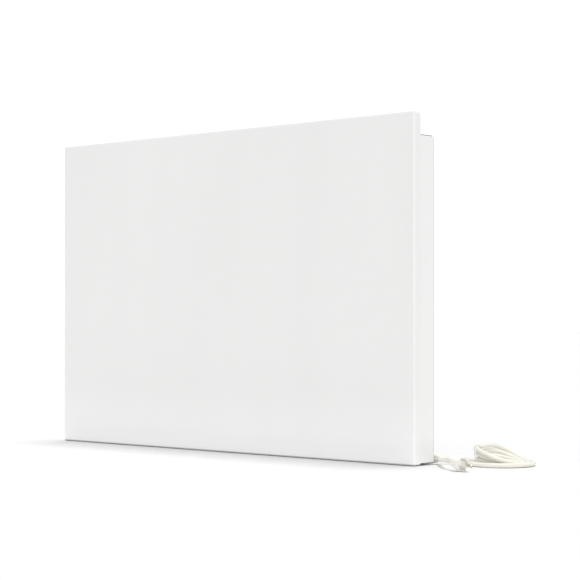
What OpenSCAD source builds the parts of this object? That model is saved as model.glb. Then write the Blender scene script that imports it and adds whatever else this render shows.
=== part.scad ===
// Slim wall convector heater: a flat steel front panel on a shallower rear case,
// hung on a wall rail by two hooks, with its supply cord coiled on the floor.
// X runs along the panel, the front faces -Y, the wall is the plane y = 0, Z is up.
// The origin is the centre of the four wall rail holes, on the wall.

/* [Front panel] */
// Width of the front panel
panel_w = 924; // [800:4:1100]
// Height of the front panel
panel_h = 610; // [560:2:760]
// Depth of the front panel's folded sides
tray_d = 17; // [15:0.5:26]
// Sheet thickness of the front panel
panel_t = 1.2; // [0.8:0.1:1.6]
// Outer radius of the folded edges
panel_edge_r = 4; // [2.5:0.5:6]
// Corner radius of the face
panel_corner_r = 5; // [3:0.5:10]
// Height of the panel's top edge above the hooks' seat
top_rise = 130; // [110:5:160]

/* [Rear case] */
// Depth of the rear case
case_d = 40; // [36:1:60]
// Sheet thickness of the rear case
case_t = 1.2; // [0.8:0.1:1.6]
// How far the case stops below the top of the panel
case_drop = 40; // [30:1:60]
// How far the case stops above the bottom of the panel
case_rise = 4; // [2:0.5:8]
// Outer radius of the rear edges of the case
case_edge_r = 3; // [2:0.5:5]
// Width of the case's inward flanges
flange_w = 13; // [12:0.5:18]
// Gap between the rear flange of the case and the wall
wall_gap = 12; // [12:0.5:20]

/* [Back plate] */
// Sheet thickness of the back plate
back_t = 1.2; // [0.8:0.1:1.6]
// How far the edge of the back plate lies inside the case's outline
back_inset = 3.5; // [2:0.5:5]
// Depth of the pressed stiffening beads
bead_h = 1.4; // [0.6:0.2:3]
// Width of the pressed stiffening beads
bead_w = 12; // [8:1:20]

/* [Air inlet and outlet] */
// Thickness of the outlet grille's frame above the case
grille_t = 1.5; // [1:0.1:3]
// Margin of the outlet opening at each end of the case
outlet_end = 12; // [8:1:30]
// Margin of the outlet opening at its front and back
outlet_side = 5; // [4:0.5:8]
// Depth of the skirt that hangs into the opening
skirt_h = 11; // [8:1:16]
// Thickness of the grille's skirt
skirt_t = 1.6; // [1.2:0.1:2.4]
// Number of long louvre blades
blade_n = 5; // [3:1:6]
// Thickness of a louvre blade
blade_t = 1.4; // [1:0.1:2]
// Tilt of the louvre blades towards the room
blade_tilt = 32; // [15:1:45]
// Chord of a louvre blade
blade_chord = 9; // [6:0.5:10]
// Distance between the cross ribs of the grille
rib_pitch = 64; // [40:2:120]
// Width of an inlet slot
slot_w = 3.6; // [2:0.2:4]
// Length of an inlet slot
slot_l = 16; // [8:1:24]
// Distance between inlet slots
slot_pitch = 24; // [20:1:40]
// Rows of inlet slots
slot_rows = 3; // [1:1:3]

/* [Heating element] */
// Diameter of the element's tube
tube_d = 8; // [6:0.5:10]
// Distance between the two runs of the tube
tube_gap = 32; // [26:1:40]
// Height of the element above the bottom of the panel
element_z = 92; // [80:2:140]
// Thickness of a fin
fin_t = 0.6; // [0.4:0.1:1]
// Depth of a fin, front to back
fin_d = 26; // [20:1:30]
// Height of a fin
fin_h = 62; // [50:1:80]
// Distance between fins
fin_pitch = 10; // [8:0.5:20]
// Running clearance between the tube and what it passes through
tube_clear = 0.1; // [0.05:0.05:0.4]

/* [Wall rail] */
// Length of the wall rail
rail_w = 460; // [420:10:560]
// Thickness of the rail's sheet
rail_t = 1.5; // [1.2:0.1:2.5]
// Height of the rail's raised face
rail_face_h = 40; // [34:1:50]
// Height of each fixing flange of the rail
rail_flange_h = 20; // [16:1:28]
// Distance between the wall holes along X
hole_dx = 360; // [300:5:400]
// Diameter of the wall holes
hole_d = 6; // [4:0.5:8]
// Distance between the two hooks
hook_dx = 260; // [160:5:320]
// Width of a hook
hook_w = 40; // [24:1:60]
// Height of a hook's upturned tip
hook_h = 12; // [8:0.5:14]
// Running clearance of the rail and its hooks
hook_clear = 0.3; // [0.2:0.05:0.6]

/* [Cord and plug] */
// Diameter of the supply cord
cord_d = 8; // [7:0.1:8]
// Length of the cord's tapered sleeve at the heater
sleeve_l = 38; // [30:1:38]
// Length of the plug's moulded body
plug_l = 28; // [26:1:36]
// Width of the plug's moulded body
plug_w = 25; // [24:0.5:30]
// Height of the plug's moulded body
plug_h = 22; // [21:0.5:26]
// Length of a flat plug blade in front of the body
prong_l = 16; // [14:0.5:18]
// Distance between the two flat blades
prong_dx = 12.7; // [12:0.1:13]

/* [Hidden] */
$fn = 48;
e = 0.01;
half_w = panel_w / 2;
top = top_rise;
bottom = top - panel_h;
case_bottom = bottom + case_rise;
case_top = top - case_drop;
case_h = case_top - case_bottom;
case_back = -wall_gap;
case_front = case_back - case_d;
front = case_front - tray_d;
plate_back = case_back + back_t;
screw_r = 1.95;
screw_hole_r = 2;
screw_head_r = 3.8;
screw_head_h = 2.2;
shield_t = 0.8;
shield_back = case_front + case_t + shield_t;

// Hooks and the slots that hang on them
lift_clear = 0.5;
lift = hook_h + lift_clear;
hook_seat = 0;
rail_face = plate_back + hook_clear;
doubler_t = 1.5;
hook_tip = case_back - doubler_t - 1.2;
slot_side = 2;
seat_clear = 0.1;
hook_slot_h = rail_t + lift + 1;
hole_dz = rail_face_h + rail_flange_h;

// Positions along the case for screws and slots
side_screw_n = 4;
side_screw_end = 25;
long_screw_n = 6;
long_screw_end = 140;
screw_in = flange_w / 2 + 0.5;

// Element layout
element_y = case_back - 20;
element_mid = bottom + element_z;
element_left = -half_w + 56;
element_right = half_w - 124;
bracket_t = 1.2;
bracket_foot = 24;
bracket_reach = 14;
bracket_end = 8;
bracket_h = fin_h + 2 * bracket_end;
bracket_x = [element_left + 12, (element_left + element_right) / 2, element_right - 12];
bush_r = 6.5;
bush_flange_r = 8.5;
bush_l = 7;
bush_flange_t = 2;
stud_x = element_right + 8;
stud_l = 12;

// Wiring
wire_d = 2.6;
block_x = half_w - 70;
block_w = 44;
block_h = 18;
block_d = 16;
block_z = bottom + 34;
pole_in = 10;
pole_pitch = 12;
cutout_x = half_w - 84;
cutout_z = bottom + 156;
cutout_r = 8;
cutout_d = 10;
cutout_ear = 13;
earth_r = 2;
earth_x = half_w - 26;
earth_z = bottom + 84;

// Insulation board
board_t = 5;
board_w = panel_w - 244;
board_h = 230;
board_z = bottom + 152;
pin_dx = board_w / 2 - 60;
pin_dz = board_h / 2 - 40;
pin_r = 1.5;
pin_washer_r = 11;

// Cord outlet block on the back plate
outlet_x = half_w - 122;
outlet_w = 46;
outlet_top = bottom + 50;
outlet_mid = bottom + 37;
outlet_low = case_bottom + 1.5;
outlet_d = 10.4;
cord_y = plate_back + outlet_d / 2;
cord_h = 15.5;
neck_l = 10;
wire_hole_x = outlet_x + 14;
wire_hole_z = bottom + 30;
wire_hole_r = 6;
sleeve_r = cord_d / 2 + 1.2;
sleeve_tip_r = cord_d / 2 + 0.4;
outlet_face = outlet_x + outlet_w;
outlet_screws = [[outlet_x + 6, outlet_top - 6], [outlet_x + 40, outlet_top - 6]];

// Rubber bumpers that rest on the wall
bumper_r = 11;
bumper_x = half_w - 32;
bumper_z = bottom + 64;
bumper_stem_r = 3;
bumper_lead = 2;

// Supply cord: x is measured from the side of the case, y from the wall, h from the floor
cord_r = cord_d / 2;
lead_route = [
    [-38, -5.6, 15.5], [-29, -5.4, 15.3], [-20, -4.4, 14.6], [-11, -1.8, 13.4], [-2, 2, 11.2],
    [6.5, 5.4, 8.4], [16, 8.2, 5.8], [27, 9.4, 4.6], [39, 8.6, 4.2], [51, 5.8, 4.2],
    [63, 2, 4.2], [75, -2.2, 4.2], [87, -5.6, 4.2], [98, -6.6, 4.2]
];
plug_route = [
    [52, 66.4, 4.2], [36, 58.4, 4.2], [20.5, 51.8, 4.2], [5, 48, 4.2], [-10.5, 48.4, 4.2],
    [-24.5, 53, 4.2], [-37.5, 58.6, 4.2], [-50.5, 60.8, 4.2], [-62, 58.6, 4.2],
    [-71.6, 52.8, 4.2], [-78.7, 44.2, 4.2], [-82.5, 33.6, 4.2], [-82.5, 22.3, 4.2],
    [-78.7, 11.7, 4.2], [-71.4, 3.1, 4.2], [-61.5, -2.8, 4.2], [-50, -5, 4.2],
    [-38, -5.1, 4.2], [-26, -5, 4.2], [-14.5, -4.9, 4.6], [-5, -5.8, 5.8], [3.3, -8.4, 7.4],
    [10.6, -13.6, 8.8], [17.4, -20.4, 9.9], [24.5, -28.8, 10.8], [33, -38, 11.4],
    [42, -47.6, 12.1], [51.5, -57, 13], [61.8, -65.9, 14.3], [73, -73.6, 16.2]
];

// Coil of cord: turns lie side by side at its right end and stand over one another at its left end
hank_c = [88, 52];
hank_run = 14;
fold_r = 26;
turn_step = cord_d + 1.2;
hank_low = cord_r + 0.2;
run_part = 0.35;
lean_from = 29;
lean_near = 48;
lean_to = -62;
hump = 1;
hump_at = 135;
hank_first = -75;
loop_rings = 24;
hank_rings = 85;
ring_angle = 360 / loop_rings;
tube_sides = 8;
hank_sides = 6;

function smooth(t) = let(u = max(0, min(1, t))) u * u * (3 - 2 * u);
function side_place(p) = [half_w + p.x, p.y, bottom + p.z];
function hank_angle(k) = hank_first + ring_angle * k;
function hank_level(k) = (hank_rings - k) / loop_rings;
function hank_shift(k) = hank_run / 2 * sin(90 * max(-1, min(1, cos(hank_angle(k)) / run_part)));
function hank_along(k) = hank_shift(k) + (fold_r + 0.6 * turn_step * hank_level(k)) * cos(hank_angle(k));
function hank_lean_from(k) = lean_from + lean_near * (1 - sin(hank_angle(k))) / 2;
function hank_lean(k) = let(from = hank_lean_from(k))
    90 * smooth((from - hank_along(k)) / (from - lean_to)) * smooth((k - 3) / 6);
function hank_radius(k) = fold_r + turn_step * hank_level(k) * cos(hank_lean(k));
function hank_hump(k) = k > hank_rings - 12 ? 0 : hump * pow(max(0, cos(hank_angle(k) - hump_at)), 4);
function hank_height(k) = hank_low + turn_step * hank_level(k) * sin(hank_lean(k)) + hank_hump(k);
function hank_point(k) = side_place([
    hank_c.x + hank_shift(k) + hank_radius(k) * cos(hank_angle(k)),
    hank_c.y + hank_radius(k) * sin(hank_angle(k)),
    hank_height(k)
]);
hank_line = [for (k = [0 : hank_rings]) hank_point(k)];

// Plug pose: its face, its heading, and the dip that rests its blade tips on the floor
plug_az = -20;
plug_dip = 8;
plug_roll = 20;
plug_sleeve_l = 10;
plug_face = [119.5, -92, 12.9];
plug_axis = [cos(plug_dip) * cos(plug_az), cos(plug_dip) * sin(plug_az), -sin(plug_dip)];
plug_tail = side_place(plug_face) - (plug_l + plug_sleeve_l) * plug_axis;
prong_t = 1.5;
prong_w = 6.3;
prong_root = 8;
hold_clear = 0.05;
ground_r = 2.4;
ground_l = 19;
ground_rise = 11.9;
prong_z = -4;

end_reach = 20;
lead_line = concat([for (p = lead_route) side_place(p)], [hank_line[0]]);
plug_line = concat([hank_line[hank_rings]], [for (p = plug_route) side_place(p)], [plug_tail]);

function span_sum(line, i = 0, total = 0) =
    i >= len(line) - 1 ? total : span_sum(line, i + 1, total + norm(line[i + 1] - line[i]));
gap_step = 0.5;
hank_fine = [for (k = [0 : gap_step : hank_rings]) hank_point(k)];
self_gap = min([for (i = [0 : len(hank_fine) - 1], j = [i + 10 : 1 : len(hank_fine) - 1])
    norm(hank_fine[i] - hank_fine[j])]) - cord_d;
cord_total = span_sum(lead_line) + span_sum(hank_line) + span_sum(plug_line);
echo("least gap inside the hank, mm", self_gap);
echo("length of the cord, mm", cord_total);

// A rounded rectangle from its low corner
module round_rect(x, y, w, h, r) {
    translate([x + r, y + r]) {
        translate([-r, 0]) square([w, h - 2 * r]);
        translate([0, -r]) square([w - 2 * r, h]);
        for (u = [0, w - 2 * r], v = [0, h - 2 * r])
            translate([u, v]) circle(r);
    }
}

// A flat shape drawn in X and Z, given thickness from y0 to y1
module sheet_xz(y0, y1) {
    translate([0, y1, 0]) rotate([90, 0, 0]) linear_extrude(y1 - y0) children();
}

// A box whose edges are rounded at one y face: radius edge there, radius corner seen from the front
module soft_box(w, z0, z1, y0, y1, edge, corner, round_front) {
    far = 3 * edge;
    from = round_front ? y0 : y0 - far;
    deep = y1 - y0 + far;
    intersection() {
        sheet_xz(y0, y1) round_rect(-w / 2, z0, w, z1 - z0, corner);
        translate([0, 0, z0 - 1]) linear_extrude(z1 - z0 + 2) round_rect(-w / 2, from, w, deep, edge);
        translate([-w / 2 - 1, 0, 0]) rotate([90, 0, 90]) linear_extrude(w + 2)
            round_rect(from, z0, deep, z1 - z0, edge);
    }
}

// Screw with a pan head, its head's seat at the origin and its shank along -Y
module pan_screw(shank_l) {
    rotate([90, 0, 0]) {
        cylinder(h = shank_l, r = screw_r);
        translate([0, 0, -screw_head_h]) difference() {
            union() {
                translate([0, 0, 0.8]) cylinder(h = screw_head_h - 0.8, r = screw_head_r);
                cylinder(h = 0.8, r1 = screw_head_r - 0.8, r2 = screw_head_r);
            }
            for (a = [0, 90]) rotate([0, 0, a])
                translate([-2, -0.4, -e]) cube([4, 0.8, 1.2]);
        }
    }
}

function spread(n, from, to) = [for (i = [0 : n - 1]) from + (to - from) * i / (n - 1)];
function ring_of_screws(x, low, high) = concat(
    [for (u = spread(long_screw_n, long_screw_end - x, x - long_screw_end), v = [low, high]) [u, v]],
    [for (u = [-x, x], v = spread(side_screw_n, low + side_screw_end, high - side_screw_end)) [u, v]]
);
case_screws = ring_of_screws(half_w - screw_in, case_bottom + screw_in, case_top - screw_in);

module screw_holes(y0, y1, r) {
    for (p = case_screws) translate([p.x, y1, p.y]) rotate([90, 0, 0]) cylinder(h = y1 - y0, r = r);
}

// Front panel: one folded tray with a lip that returns behind its sides
module front_panel() {
    lip_top = case_drop + flange_w;
    lip_low = case_rise + flange_w;
    color([0.95, 0.95, 0.95]) difference() {
        soft_box(panel_w, bottom, top, front, case_front, panel_edge_r, panel_corner_r, true);
        soft_box(panel_w - 2 * panel_t, bottom + panel_t, top - panel_t, front + panel_t,
            case_front - panel_t, panel_edge_r - panel_t, panel_corner_r - panel_t, true);
        sheet_xz(case_front - panel_t - e, case_front + e)
            round_rect(-half_w + flange_w, bottom + lip_low, panel_w - 2 * flange_w,
                panel_h - lip_top - lip_low, 4);
        screw_holes(case_front - panel_t - 1, case_front + 1, screw_hole_r);
    }
}

// Two top-hat stiffeners bonded to the inside of the face
module panel_stiffeners() {
    hat_w = 30;
    hat_flange = 12;
    hat_d = 9;
    hat_t = 1;
    low_end = 30;
    top_end = 70;
    hat = [
        [-hat_w / 2 - hat_flange, 0], [-hat_w / 2, 0], [-hat_w / 2 + 4, hat_d - hat_t],
        [hat_w / 2 - 4, hat_d - hat_t], [hat_w / 2, 0], [hat_w / 2 + hat_flange, 0],
        [hat_w / 2 + hat_flange, hat_t], [hat_w / 2 + 0.8, hat_t], [hat_w / 2 - 3.2, hat_d],
        [-hat_w / 2 + 3.2, hat_d], [-hat_w / 2 - 0.8, hat_t], [-hat_w / 2 - hat_flange, hat_t]
    ];
    color([0.72, 0.73, 0.74]) for (x = [-panel_w / 4, panel_w / 4])
        translate([x, front + panel_t, bottom + low_end])
            linear_extrude(panel_h - low_end - top_end) polygon(hat);
}

// Rear case: four walls folded from one strip, with inward flanges front and back
module case_frame() {
    color([0.93, 0.93, 0.93]) difference() {
        soft_box(panel_w, case_bottom, case_top, case_front, case_back, case_edge_r, 1.5, false);
        soft_box(panel_w - 2 * case_t, case_bottom + case_t, case_top - case_t,
            case_front + case_t, case_back - case_t, case_edge_r - case_t, 0.3, false);
        sheet_xz(case_front - 1, case_back + 1)
            round_rect(-half_w + flange_w, case_bottom + flange_w, panel_w - 2 * flange_w,
                case_h - 2 * flange_w, 4);
        outlet_opening();
        inlet_slots();
        screw_holes(case_back - case_t - 1, case_back + 1, screw_hole_r);
        screw_holes(case_front - 1, case_front + case_t + 1, screw_hole_r);
    }
}

module outlet_opening() {
    translate([0, 0, case_top - case_t - 1]) linear_extrude(case_t + 2)
        round_rect(-half_w + outlet_end, case_front + outlet_side, panel_w - 2 * outlet_end,
            case_d - 2 * outlet_side, 3);
}

module inlet_slots() {
    span = panel_w - 120;
    count = floor(span / slot_pitch);
    row_step = (case_d - 16) / slot_rows;
    for (i = [0 : count], j = [0 : slot_rows - 1])
        translate([(i - count / 2) * slot_pitch, case_front + 8 + row_step * (j + 0.5), case_bottom - 1])
            linear_extrude(case_t + 2) stadium(slot_l, slot_w);
}

// A slot with round ends, centred
module stadium(l, w) {
    square([l - w, w], center = true);
    for (x = [-1, 1]) translate([x * (l - w) / 2, 0]) circle(w / 2);
}

// Outlet grille: a frame that laps the case, a skirt, long tilted louvres and cross ribs
module outlet_grille() {
    lap = 2;
    skirt_gap = 0.4;
    rib_t = 1.4;
    rib_in = 2.4;
    rib_h = skirt_h - 4;
    bite = 0.2;
    sw = panel_w - 2 * outlet_end - 2 * skirt_gap;
    sd = case_d - 2 * outlet_side - 2 * skirt_gap;
    sy = case_front + outlet_side + skirt_gap;
    win_w = sw - 2 * skirt_t;
    win_d = sd - 2 * skirt_t;
    blade_step = win_d / blade_n;
    first_y = sy + skirt_t + blade_step / 2;
    ribs = floor(win_w / rib_pitch);
    color([0.45, 0.46, 0.47]) {
        difference() {
            union() {
                translate([0, 0, case_top]) linear_extrude(grille_t)
                    round_rect(-half_w + lap, case_front + 1, panel_w - 2 * lap, case_d - 1 - lap, 3);
                translate([0, 0, case_top - skirt_h]) linear_extrude(skirt_h + e)
                    round_rect(-sw / 2, sy, sw, sd, 2.6);
            }
            translate([0, 0, case_top - skirt_h - 1]) linear_extrude(skirt_h + grille_t + 2)
                round_rect(-win_w / 2, sy + skirt_t, win_w, win_d, 1.4);
        }
        for (i = [0 : blade_n - 1])
            translate([-win_w / 2 - bite, first_y + blade_step * i, case_top - skirt_h / 2 + 1])
                rotate([90, 0, 90]) linear_extrude(win_w + 2 * bite)
                    rotate(90 + blade_tilt) stadium(blade_chord, blade_t);
        for (i = [1 : ribs - 1])
            translate([win_w * (i / ribs - 0.5) - rib_t / 2, sy + skirt_t - bite, case_top - skirt_h + rib_in])
                cube([rib_t, win_d + 2 * bite, rib_h]);
        for (i = [0 : 3]) grille_latches(-win_w / 2 + win_w * (i + 0.5) / 4, sy, sd);
    }
}

// Snap latches that hold the grille under the top wall of the case
module grille_latches(x, y0, d) {
    under = case_top - case_t - 0.3;
    wedge = [[0, 0], [1.3, -0.4], [0, -4]];
    for (s = [0, 1])
        translate([x - 5, y0 + s * d, under]) mirror([0, 1 - s, 0])
            rotate([90, 0, 90]) linear_extrude(10) polygon(wedge);
}

// Thin bright sheet behind the front panel that keeps its face cool
module heat_shield() {
    m = case_t + 1;
    color([0.82, 0.83, 0.84]) difference() {
        sheet_xz(shield_back - shield_t, shield_back)
            round_rect(-half_w + m, case_bottom + m, panel_w - 2 * m, case_h - 2 * m, 2);
        screw_holes(shield_back - 2, shield_back + 1, screw_hole_r);
    }
}

// Rear cover of the case, which carries everything and hangs on the wall rail
module back_plate() {
    color([0.88, 0.88, 0.88]) difference() {
        union() {
            sheet_xz(case_back, plate_back)
                round_rect(-half_w + back_inset, case_bottom + back_inset, panel_w - 2 * back_inset,
                    case_h - 2 * back_inset, 5);
            for (z = bead_heights) sheet_xz(plate_back, plate_back + bead_h)
                translate([0, z]) stadium(bead_l, bead_w);
        }
        for (z = bead_heights) sheet_xz(case_back - 1, plate_back - back_t + bead_h)
            translate([0, z]) stadium(bead_l - 2 * back_t, bead_w - 2 * back_t);
        for (x = [-hook_dx / 2, hook_dx / 2]) hook_slot(x, case_back - 1, plate_back + 1);
        screw_holes(case_back - 1, plate_back + 1, screw_hole_r + 0.2);
        for (x = [-bumper_x, bumper_x]) plate_hole(x, bumper_z, bumper_stem_r);
        plate_hole(wire_hole_x, wire_hole_z, wire_hole_r);
        for (p = outlet_screws) plate_hole(p.x, p.y, screw_hole_r);
        for (p = bracket_screw_points) plate_hole(p.x, p.y, screw_hole_r);
        for (p = cutout_screw_points) plate_hole(p.x, p.y, screw_hole_r);
        for (p = pin_points) plate_hole(p.x, p.y, pin_r + 0.1);
        for (p = block_screw_points) plate_hole(p.x, p.y, screw_hole_r);
        plate_hole(earth_x, earth_z, earth_r + 0.1);
    }
}
bead_l = panel_w - 160;
bead_heights = [top - 340, top - 220];

module plate_hole(x, z, r) {
    translate([x, plate_back + 1, z]) rotate([90, 0, 0]) cylinder(h = back_t + 2, r = r);
}

module hook_slot(x, y0, y1) {
    sheet_xz(y0, y1) round_rect(x - hook_w / 2 - slot_side, hook_seat + seat_clear - hook_slot_h,
        hook_w + 2 * slot_side, hook_slot_h, 1);
}

// Doubler plates welded round the hook slots
module hook_doublers() {
    color([0.7, 0.71, 0.72]) for (x = [-hook_dx / 2, hook_dx / 2]) difference() {
        sheet_xz(case_back - doubler_t, case_back)
            round_rect(x - hook_w / 2 - 15, hook_seat - hook_slot_h - 13, hook_w + 30, hook_slot_h + 26, 5);
        hook_slot(x, case_back - doubler_t - 1, case_back + 1);
    }
}

// Wall rail: a pressed top-hat strip with four wall holes and two upturned hooks
module wall_rail() {
    f = rail_face_h / 2;
    g = f + rail_flange_h;
    hat = [
        [-rail_t, g], [0, g], [0, f], [rail_face + rail_t, f - 3], [rail_face + rail_t, 3 - f], [0, -f],
        [0, -g], [-rail_t, -g], [-rail_t, -f - 0.6], [rail_face, 2.4 - f], [rail_face, f - 2.4],
        [-rail_t, f + 0.6]
    ];
    color([0.62, 0.63, 0.64]) {
        difference() {
            translate([-rail_w / 2, 0, 0]) rotate([90, 0, 90]) linear_extrude(rail_w) polygon(hat);
            for (x = [-hole_dx / 2, hole_dx / 2], z = [-hole_dz / 2, hole_dz / 2])
                translate([x, 1, z]) rotate([90, 0, 0]) cylinder(h = rail_t + 2, d = hole_d);
        }
        for (x = [-hook_dx / 2, hook_dx / 2]) translate([x - hook_w / 2, 0, 0]) {
            translate([0, hook_tip - rail_t, hook_seat - rail_t])
                cube([hook_w, rail_face - hook_tip + rail_t + e, rail_t]);
            translate([0, hook_tip - rail_t, hook_seat - rail_t]) cube([hook_w, rail_t, hook_h + rail_t]);
        }
    }
}

// Rubber bumpers pushed into the back plate, which keep the heater off the wall
module wall_bumpers() {
    color([0.2, 0.2, 0.2]) for (x = [-bumper_x, bumper_x])
        translate([x, 0, bumper_z]) rotate([90, 0, 0]) {
            cylinder(h = bumper_lead, r1 = bumper_r - 1.5, r2 = bumper_r);
            translate([0, 0, bumper_lead - e]) cylinder(h = -plate_back - bumper_lead + e, r = bumper_r);
            translate([0, 0, -plate_back - e]) cylinder(h = back_t + 0.4, r = bumper_stem_r - 0.05);
            translate([0, 0, -case_back + 0.3]) cylinder(h = 5, r1 = bumper_stem_r + 1, r2 = 1.6);
        }
}

// Insulation board on the inside of the back plate, behind the warm air duct
module insulation_board() {
    color([0.9, 0.88, 0.8]) difference() {
        sheet_xz(case_back - board_t, case_back)
            round_rect(-board_w / 2, board_z, board_w, board_h, 8);
        for (p = pin_points) translate([p.x, case_back + 1, p.y]) rotate([90, 0, 0])
            cylinder(h = board_t + 2, r = pin_r + 0.2);
    }
}
pin_points = [for (x = [-pin_dx, pin_dx], z = [-pin_dz, pin_dz]) [x, board_z + board_h / 2 + z]];

module insulation_pins() {
    color([0.75, 0.75, 0.76]) for (p = pin_points) translate([p.x, plate_back, p.y]) rotate([90, 0, 0]) {
        translate([0, 0, -0.8]) cylinder(h = 0.8, r = 3.4);
        cylinder(h = back_t + board_t + 2, r = pin_r);
        translate([0, 0, back_t + board_t]) cylinder(h = 0.6, r = pin_washer_r);
    }
}

// Sheathed hairpin element
module element_tube() {
    color([0.35, 0.34, 0.33]) {
        for (s = [-1, 1]) translate([element_left, element_y, element_mid + s * tube_gap / 2])
            rotate([0, 90, 0]) cylinder(h = element_right - element_left, d = tube_d);
        translate([element_left, element_y, element_mid]) rotate([90, 0, 0]) rotate([0, 0, 90])
            rotate_extrude(angle = 180) translate([tube_gap / 2, 0]) circle(d = tube_d);
    }
}

// Aluminium fins pressed along both runs of the element
module element_fins() {
    from = bracket_x[0] + 8;
    to = bracket_x[2] - 8;
    count = floor((to - from) / fin_pitch);
    color([0.8, 0.81, 0.82]) for (i = [0 : count]) let(x = from + i * fin_pitch)
        if (abs(x - bracket_x[1]) > bush_l) translate([x, element_y, element_mid])
            rotate([90, 0, 90]) linear_extrude(fin_t) difference() {
                round_rect(-fin_d / 2, -fin_h / 2, fin_d, fin_h, 4);
                for (s = [-1, 1]) translate([0, s * tube_gap / 2]) circle(tube_d / 2 + tube_clear);
                stadium(8, 3);
            }
}

// Angle brackets that carry the element in front of the back plate
module element_brackets() {
    arm = case_back - element_y + bracket_reach;
    low = -bracket_h / 2;
    color([0.7, 0.71, 0.72]) for (x = bracket_x) translate([x, 0, element_mid]) difference() {
        union() {
            sheet_xz(case_back - bracket_t, case_back)
                round_rect(-bracket_foot, low, bracket_foot + bracket_t / 2, bracket_h, 0.5);
            translate([-bracket_t / 2, case_back - arm, low]) cube([bracket_t, arm, bracket_h]);
        }
        for (s = [-1, 1]) translate([-2, element_y, s * tube_gap / 2]) rotate([0, 90, 0])
            cylinder(h = 4, r = bush_r + 0.1);
        for (s = [-1, 1]) translate([-bracket_foot / 2, case_back + 1, s * bracket_screw_dz])
            rotate([90, 0, 0]) cylinder(h = bracket_t + 2, r = screw_hole_r);
    }
}
bracket_screw_dz = fin_h / 2 - 2;
bracket_screw_points = [for (x = bracket_x, s = [-1, 1])
    [x - bracket_foot / 2, element_mid + s * bracket_screw_dz]];

module ceramic_bushings() {
    color([0.93, 0.92, 0.88]) for (x = bracket_x, s = [-1, 1])
        translate([x, element_y, element_mid + s * tube_gap / 2]) rotate([0, 90, 0]) difference() {
            union() {
                translate([0, 0, -bush_l / 2]) cylinder(h = bush_l, r = bush_r);
                translate([0, 0, bracket_t / 2]) cylinder(h = bush_flange_t, r = bush_flange_r);
            }
            translate([0, 0, -bush_l]) cylinder(h = 2 * bush_l, r = tube_d / 2 + tube_clear);
        }
}

// Seals and studs at the cold ends of the element
module at_terminals() {
    for (s = [-1, 1]) translate([element_right, element_y, element_mid + s * tube_gap / 2])
        rotate([0, 90, 0]) children();
}

module terminal_insulators() {
    color([0.93, 0.92, 0.88]) at_terminals() cylinder(h = stud_x - element_right, r1 = 5.5, r2 = 4);
}

module element_terminals() {
    color([0.75, 0.72, 0.6]) at_terminals() translate([0, 0, stud_x - element_right]) {
        cylinder(h = stud_l, r = 2);
        translate([0, 0, 3]) cylinder(h = 3, r = 4, $fn = 6);
    }
}

// Disc thermostat that cuts the supply if the case overheats
module thermal_cutout() {
    color([0.2, 0.2, 0.21]) translate([cutout_x, case_back, cutout_z]) rotate([90, 0, 0]) {
        difference() {
            linear_extrude(1) hull() for (s = [-1, 1]) translate([s * cutout_ear, 0]) circle(5);
            for (s = [-1, 1]) translate([s * cutout_ear, 0, -1]) cylinder(h = 3, r = screw_hole_r);
        }
        translate([0, 0, 1 - e]) cylinder(h = cutout_d, r = cutout_r);
        for (s = [-1, 1]) translate([s * 4 - 0.4, -3, cutout_d + 1 - 2 * e]) cube([0.8, 6, 7]);
    }
}
cutout_screw_points = [for (s = [-1, 1]) [cutout_x + s * cutout_ear, cutout_z]];

module terminal_block() {
    color([0.9, 0.89, 0.84]) translate([block_x, case_back - block_d, block_z]) difference() {
        cube([block_w, block_d, block_h]);
        for (i = [0 : 2]) translate([pole_in + i * pole_pitch, block_d / 2, -1]) {
            cylinder(h = block_h + 2, r = wire_d / 2 + 0.1);
            for (z = [6, 14]) translate([0, 0, z]) rotate([90, 0, 0]) cylinder(h = block_d, r = 2.6);
        }
        for (i = [0 : 1]) translate([pole_in + (i + 0.5) * pole_pitch - 0.8, -1, -1]) cube([1.6, 5, block_h + 2]);
        for (x = [block_screw_in, block_w - block_screw_in])
            translate([x, block_d + 1, block_h / 2]) rotate([90, 0, 0]) cylinder(h = 7, r = screw_hole_r);
    }
}
block_screw_in = 4;
block_screw_points = [for (x = [block_screw_in, block_w - block_screw_in])
    [block_x + x, block_z + block_h / 2]];
block_entry_y = case_back - block_d / 2;
function pole(i) = block_x + pole_in + i * pole_pitch;

// A tube swept along a line of points, its end rings turned by the points before and after it
function across(t) = let(c = cross([0, 0, 1], t)) norm(c) < 0.2 ? [1, 0, 0] : c / norm(c);
module swept(line, r, sides, before = undef, after = undef) {
    n = len(line);
    first = is_undef(before) ? line[0] : before;
    end = is_undef(after) ? line[n - 1] : after;
    rings = [for (i = [0 : n - 1])
        let(d = (i < n - 1 ? line[i + 1] : end) - (i > 0 ? line[i - 1] : first), t = d / norm(d))
        let(u = across(t), v = cross(t, u))
        for (k = [0 : sides - 1])
            let(a = 360 * (k + 0.5) / sides)
            line[i] + r * (cos(a) * u + sin(a) * v)];
    walls = [for (i = [0 : n - 2], k = [0 : sides - 1])
        let(a = i * sides + k, b = i * sides + (k + 1) % sides)
        each [[a, b + sides, b], [a, a + sides, b + sides]]];
    head = [for (k = [1 : sides - 2]) [0, k, k + 1]];
    last = (n - 1) * sides;
    tail = [for (k = [1 : sides - 2]) [last, last + k + 1, last + k]];
    polyhedron(points = rings, faces = concat(walls, head, tail), convexity = 8);
}

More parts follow.
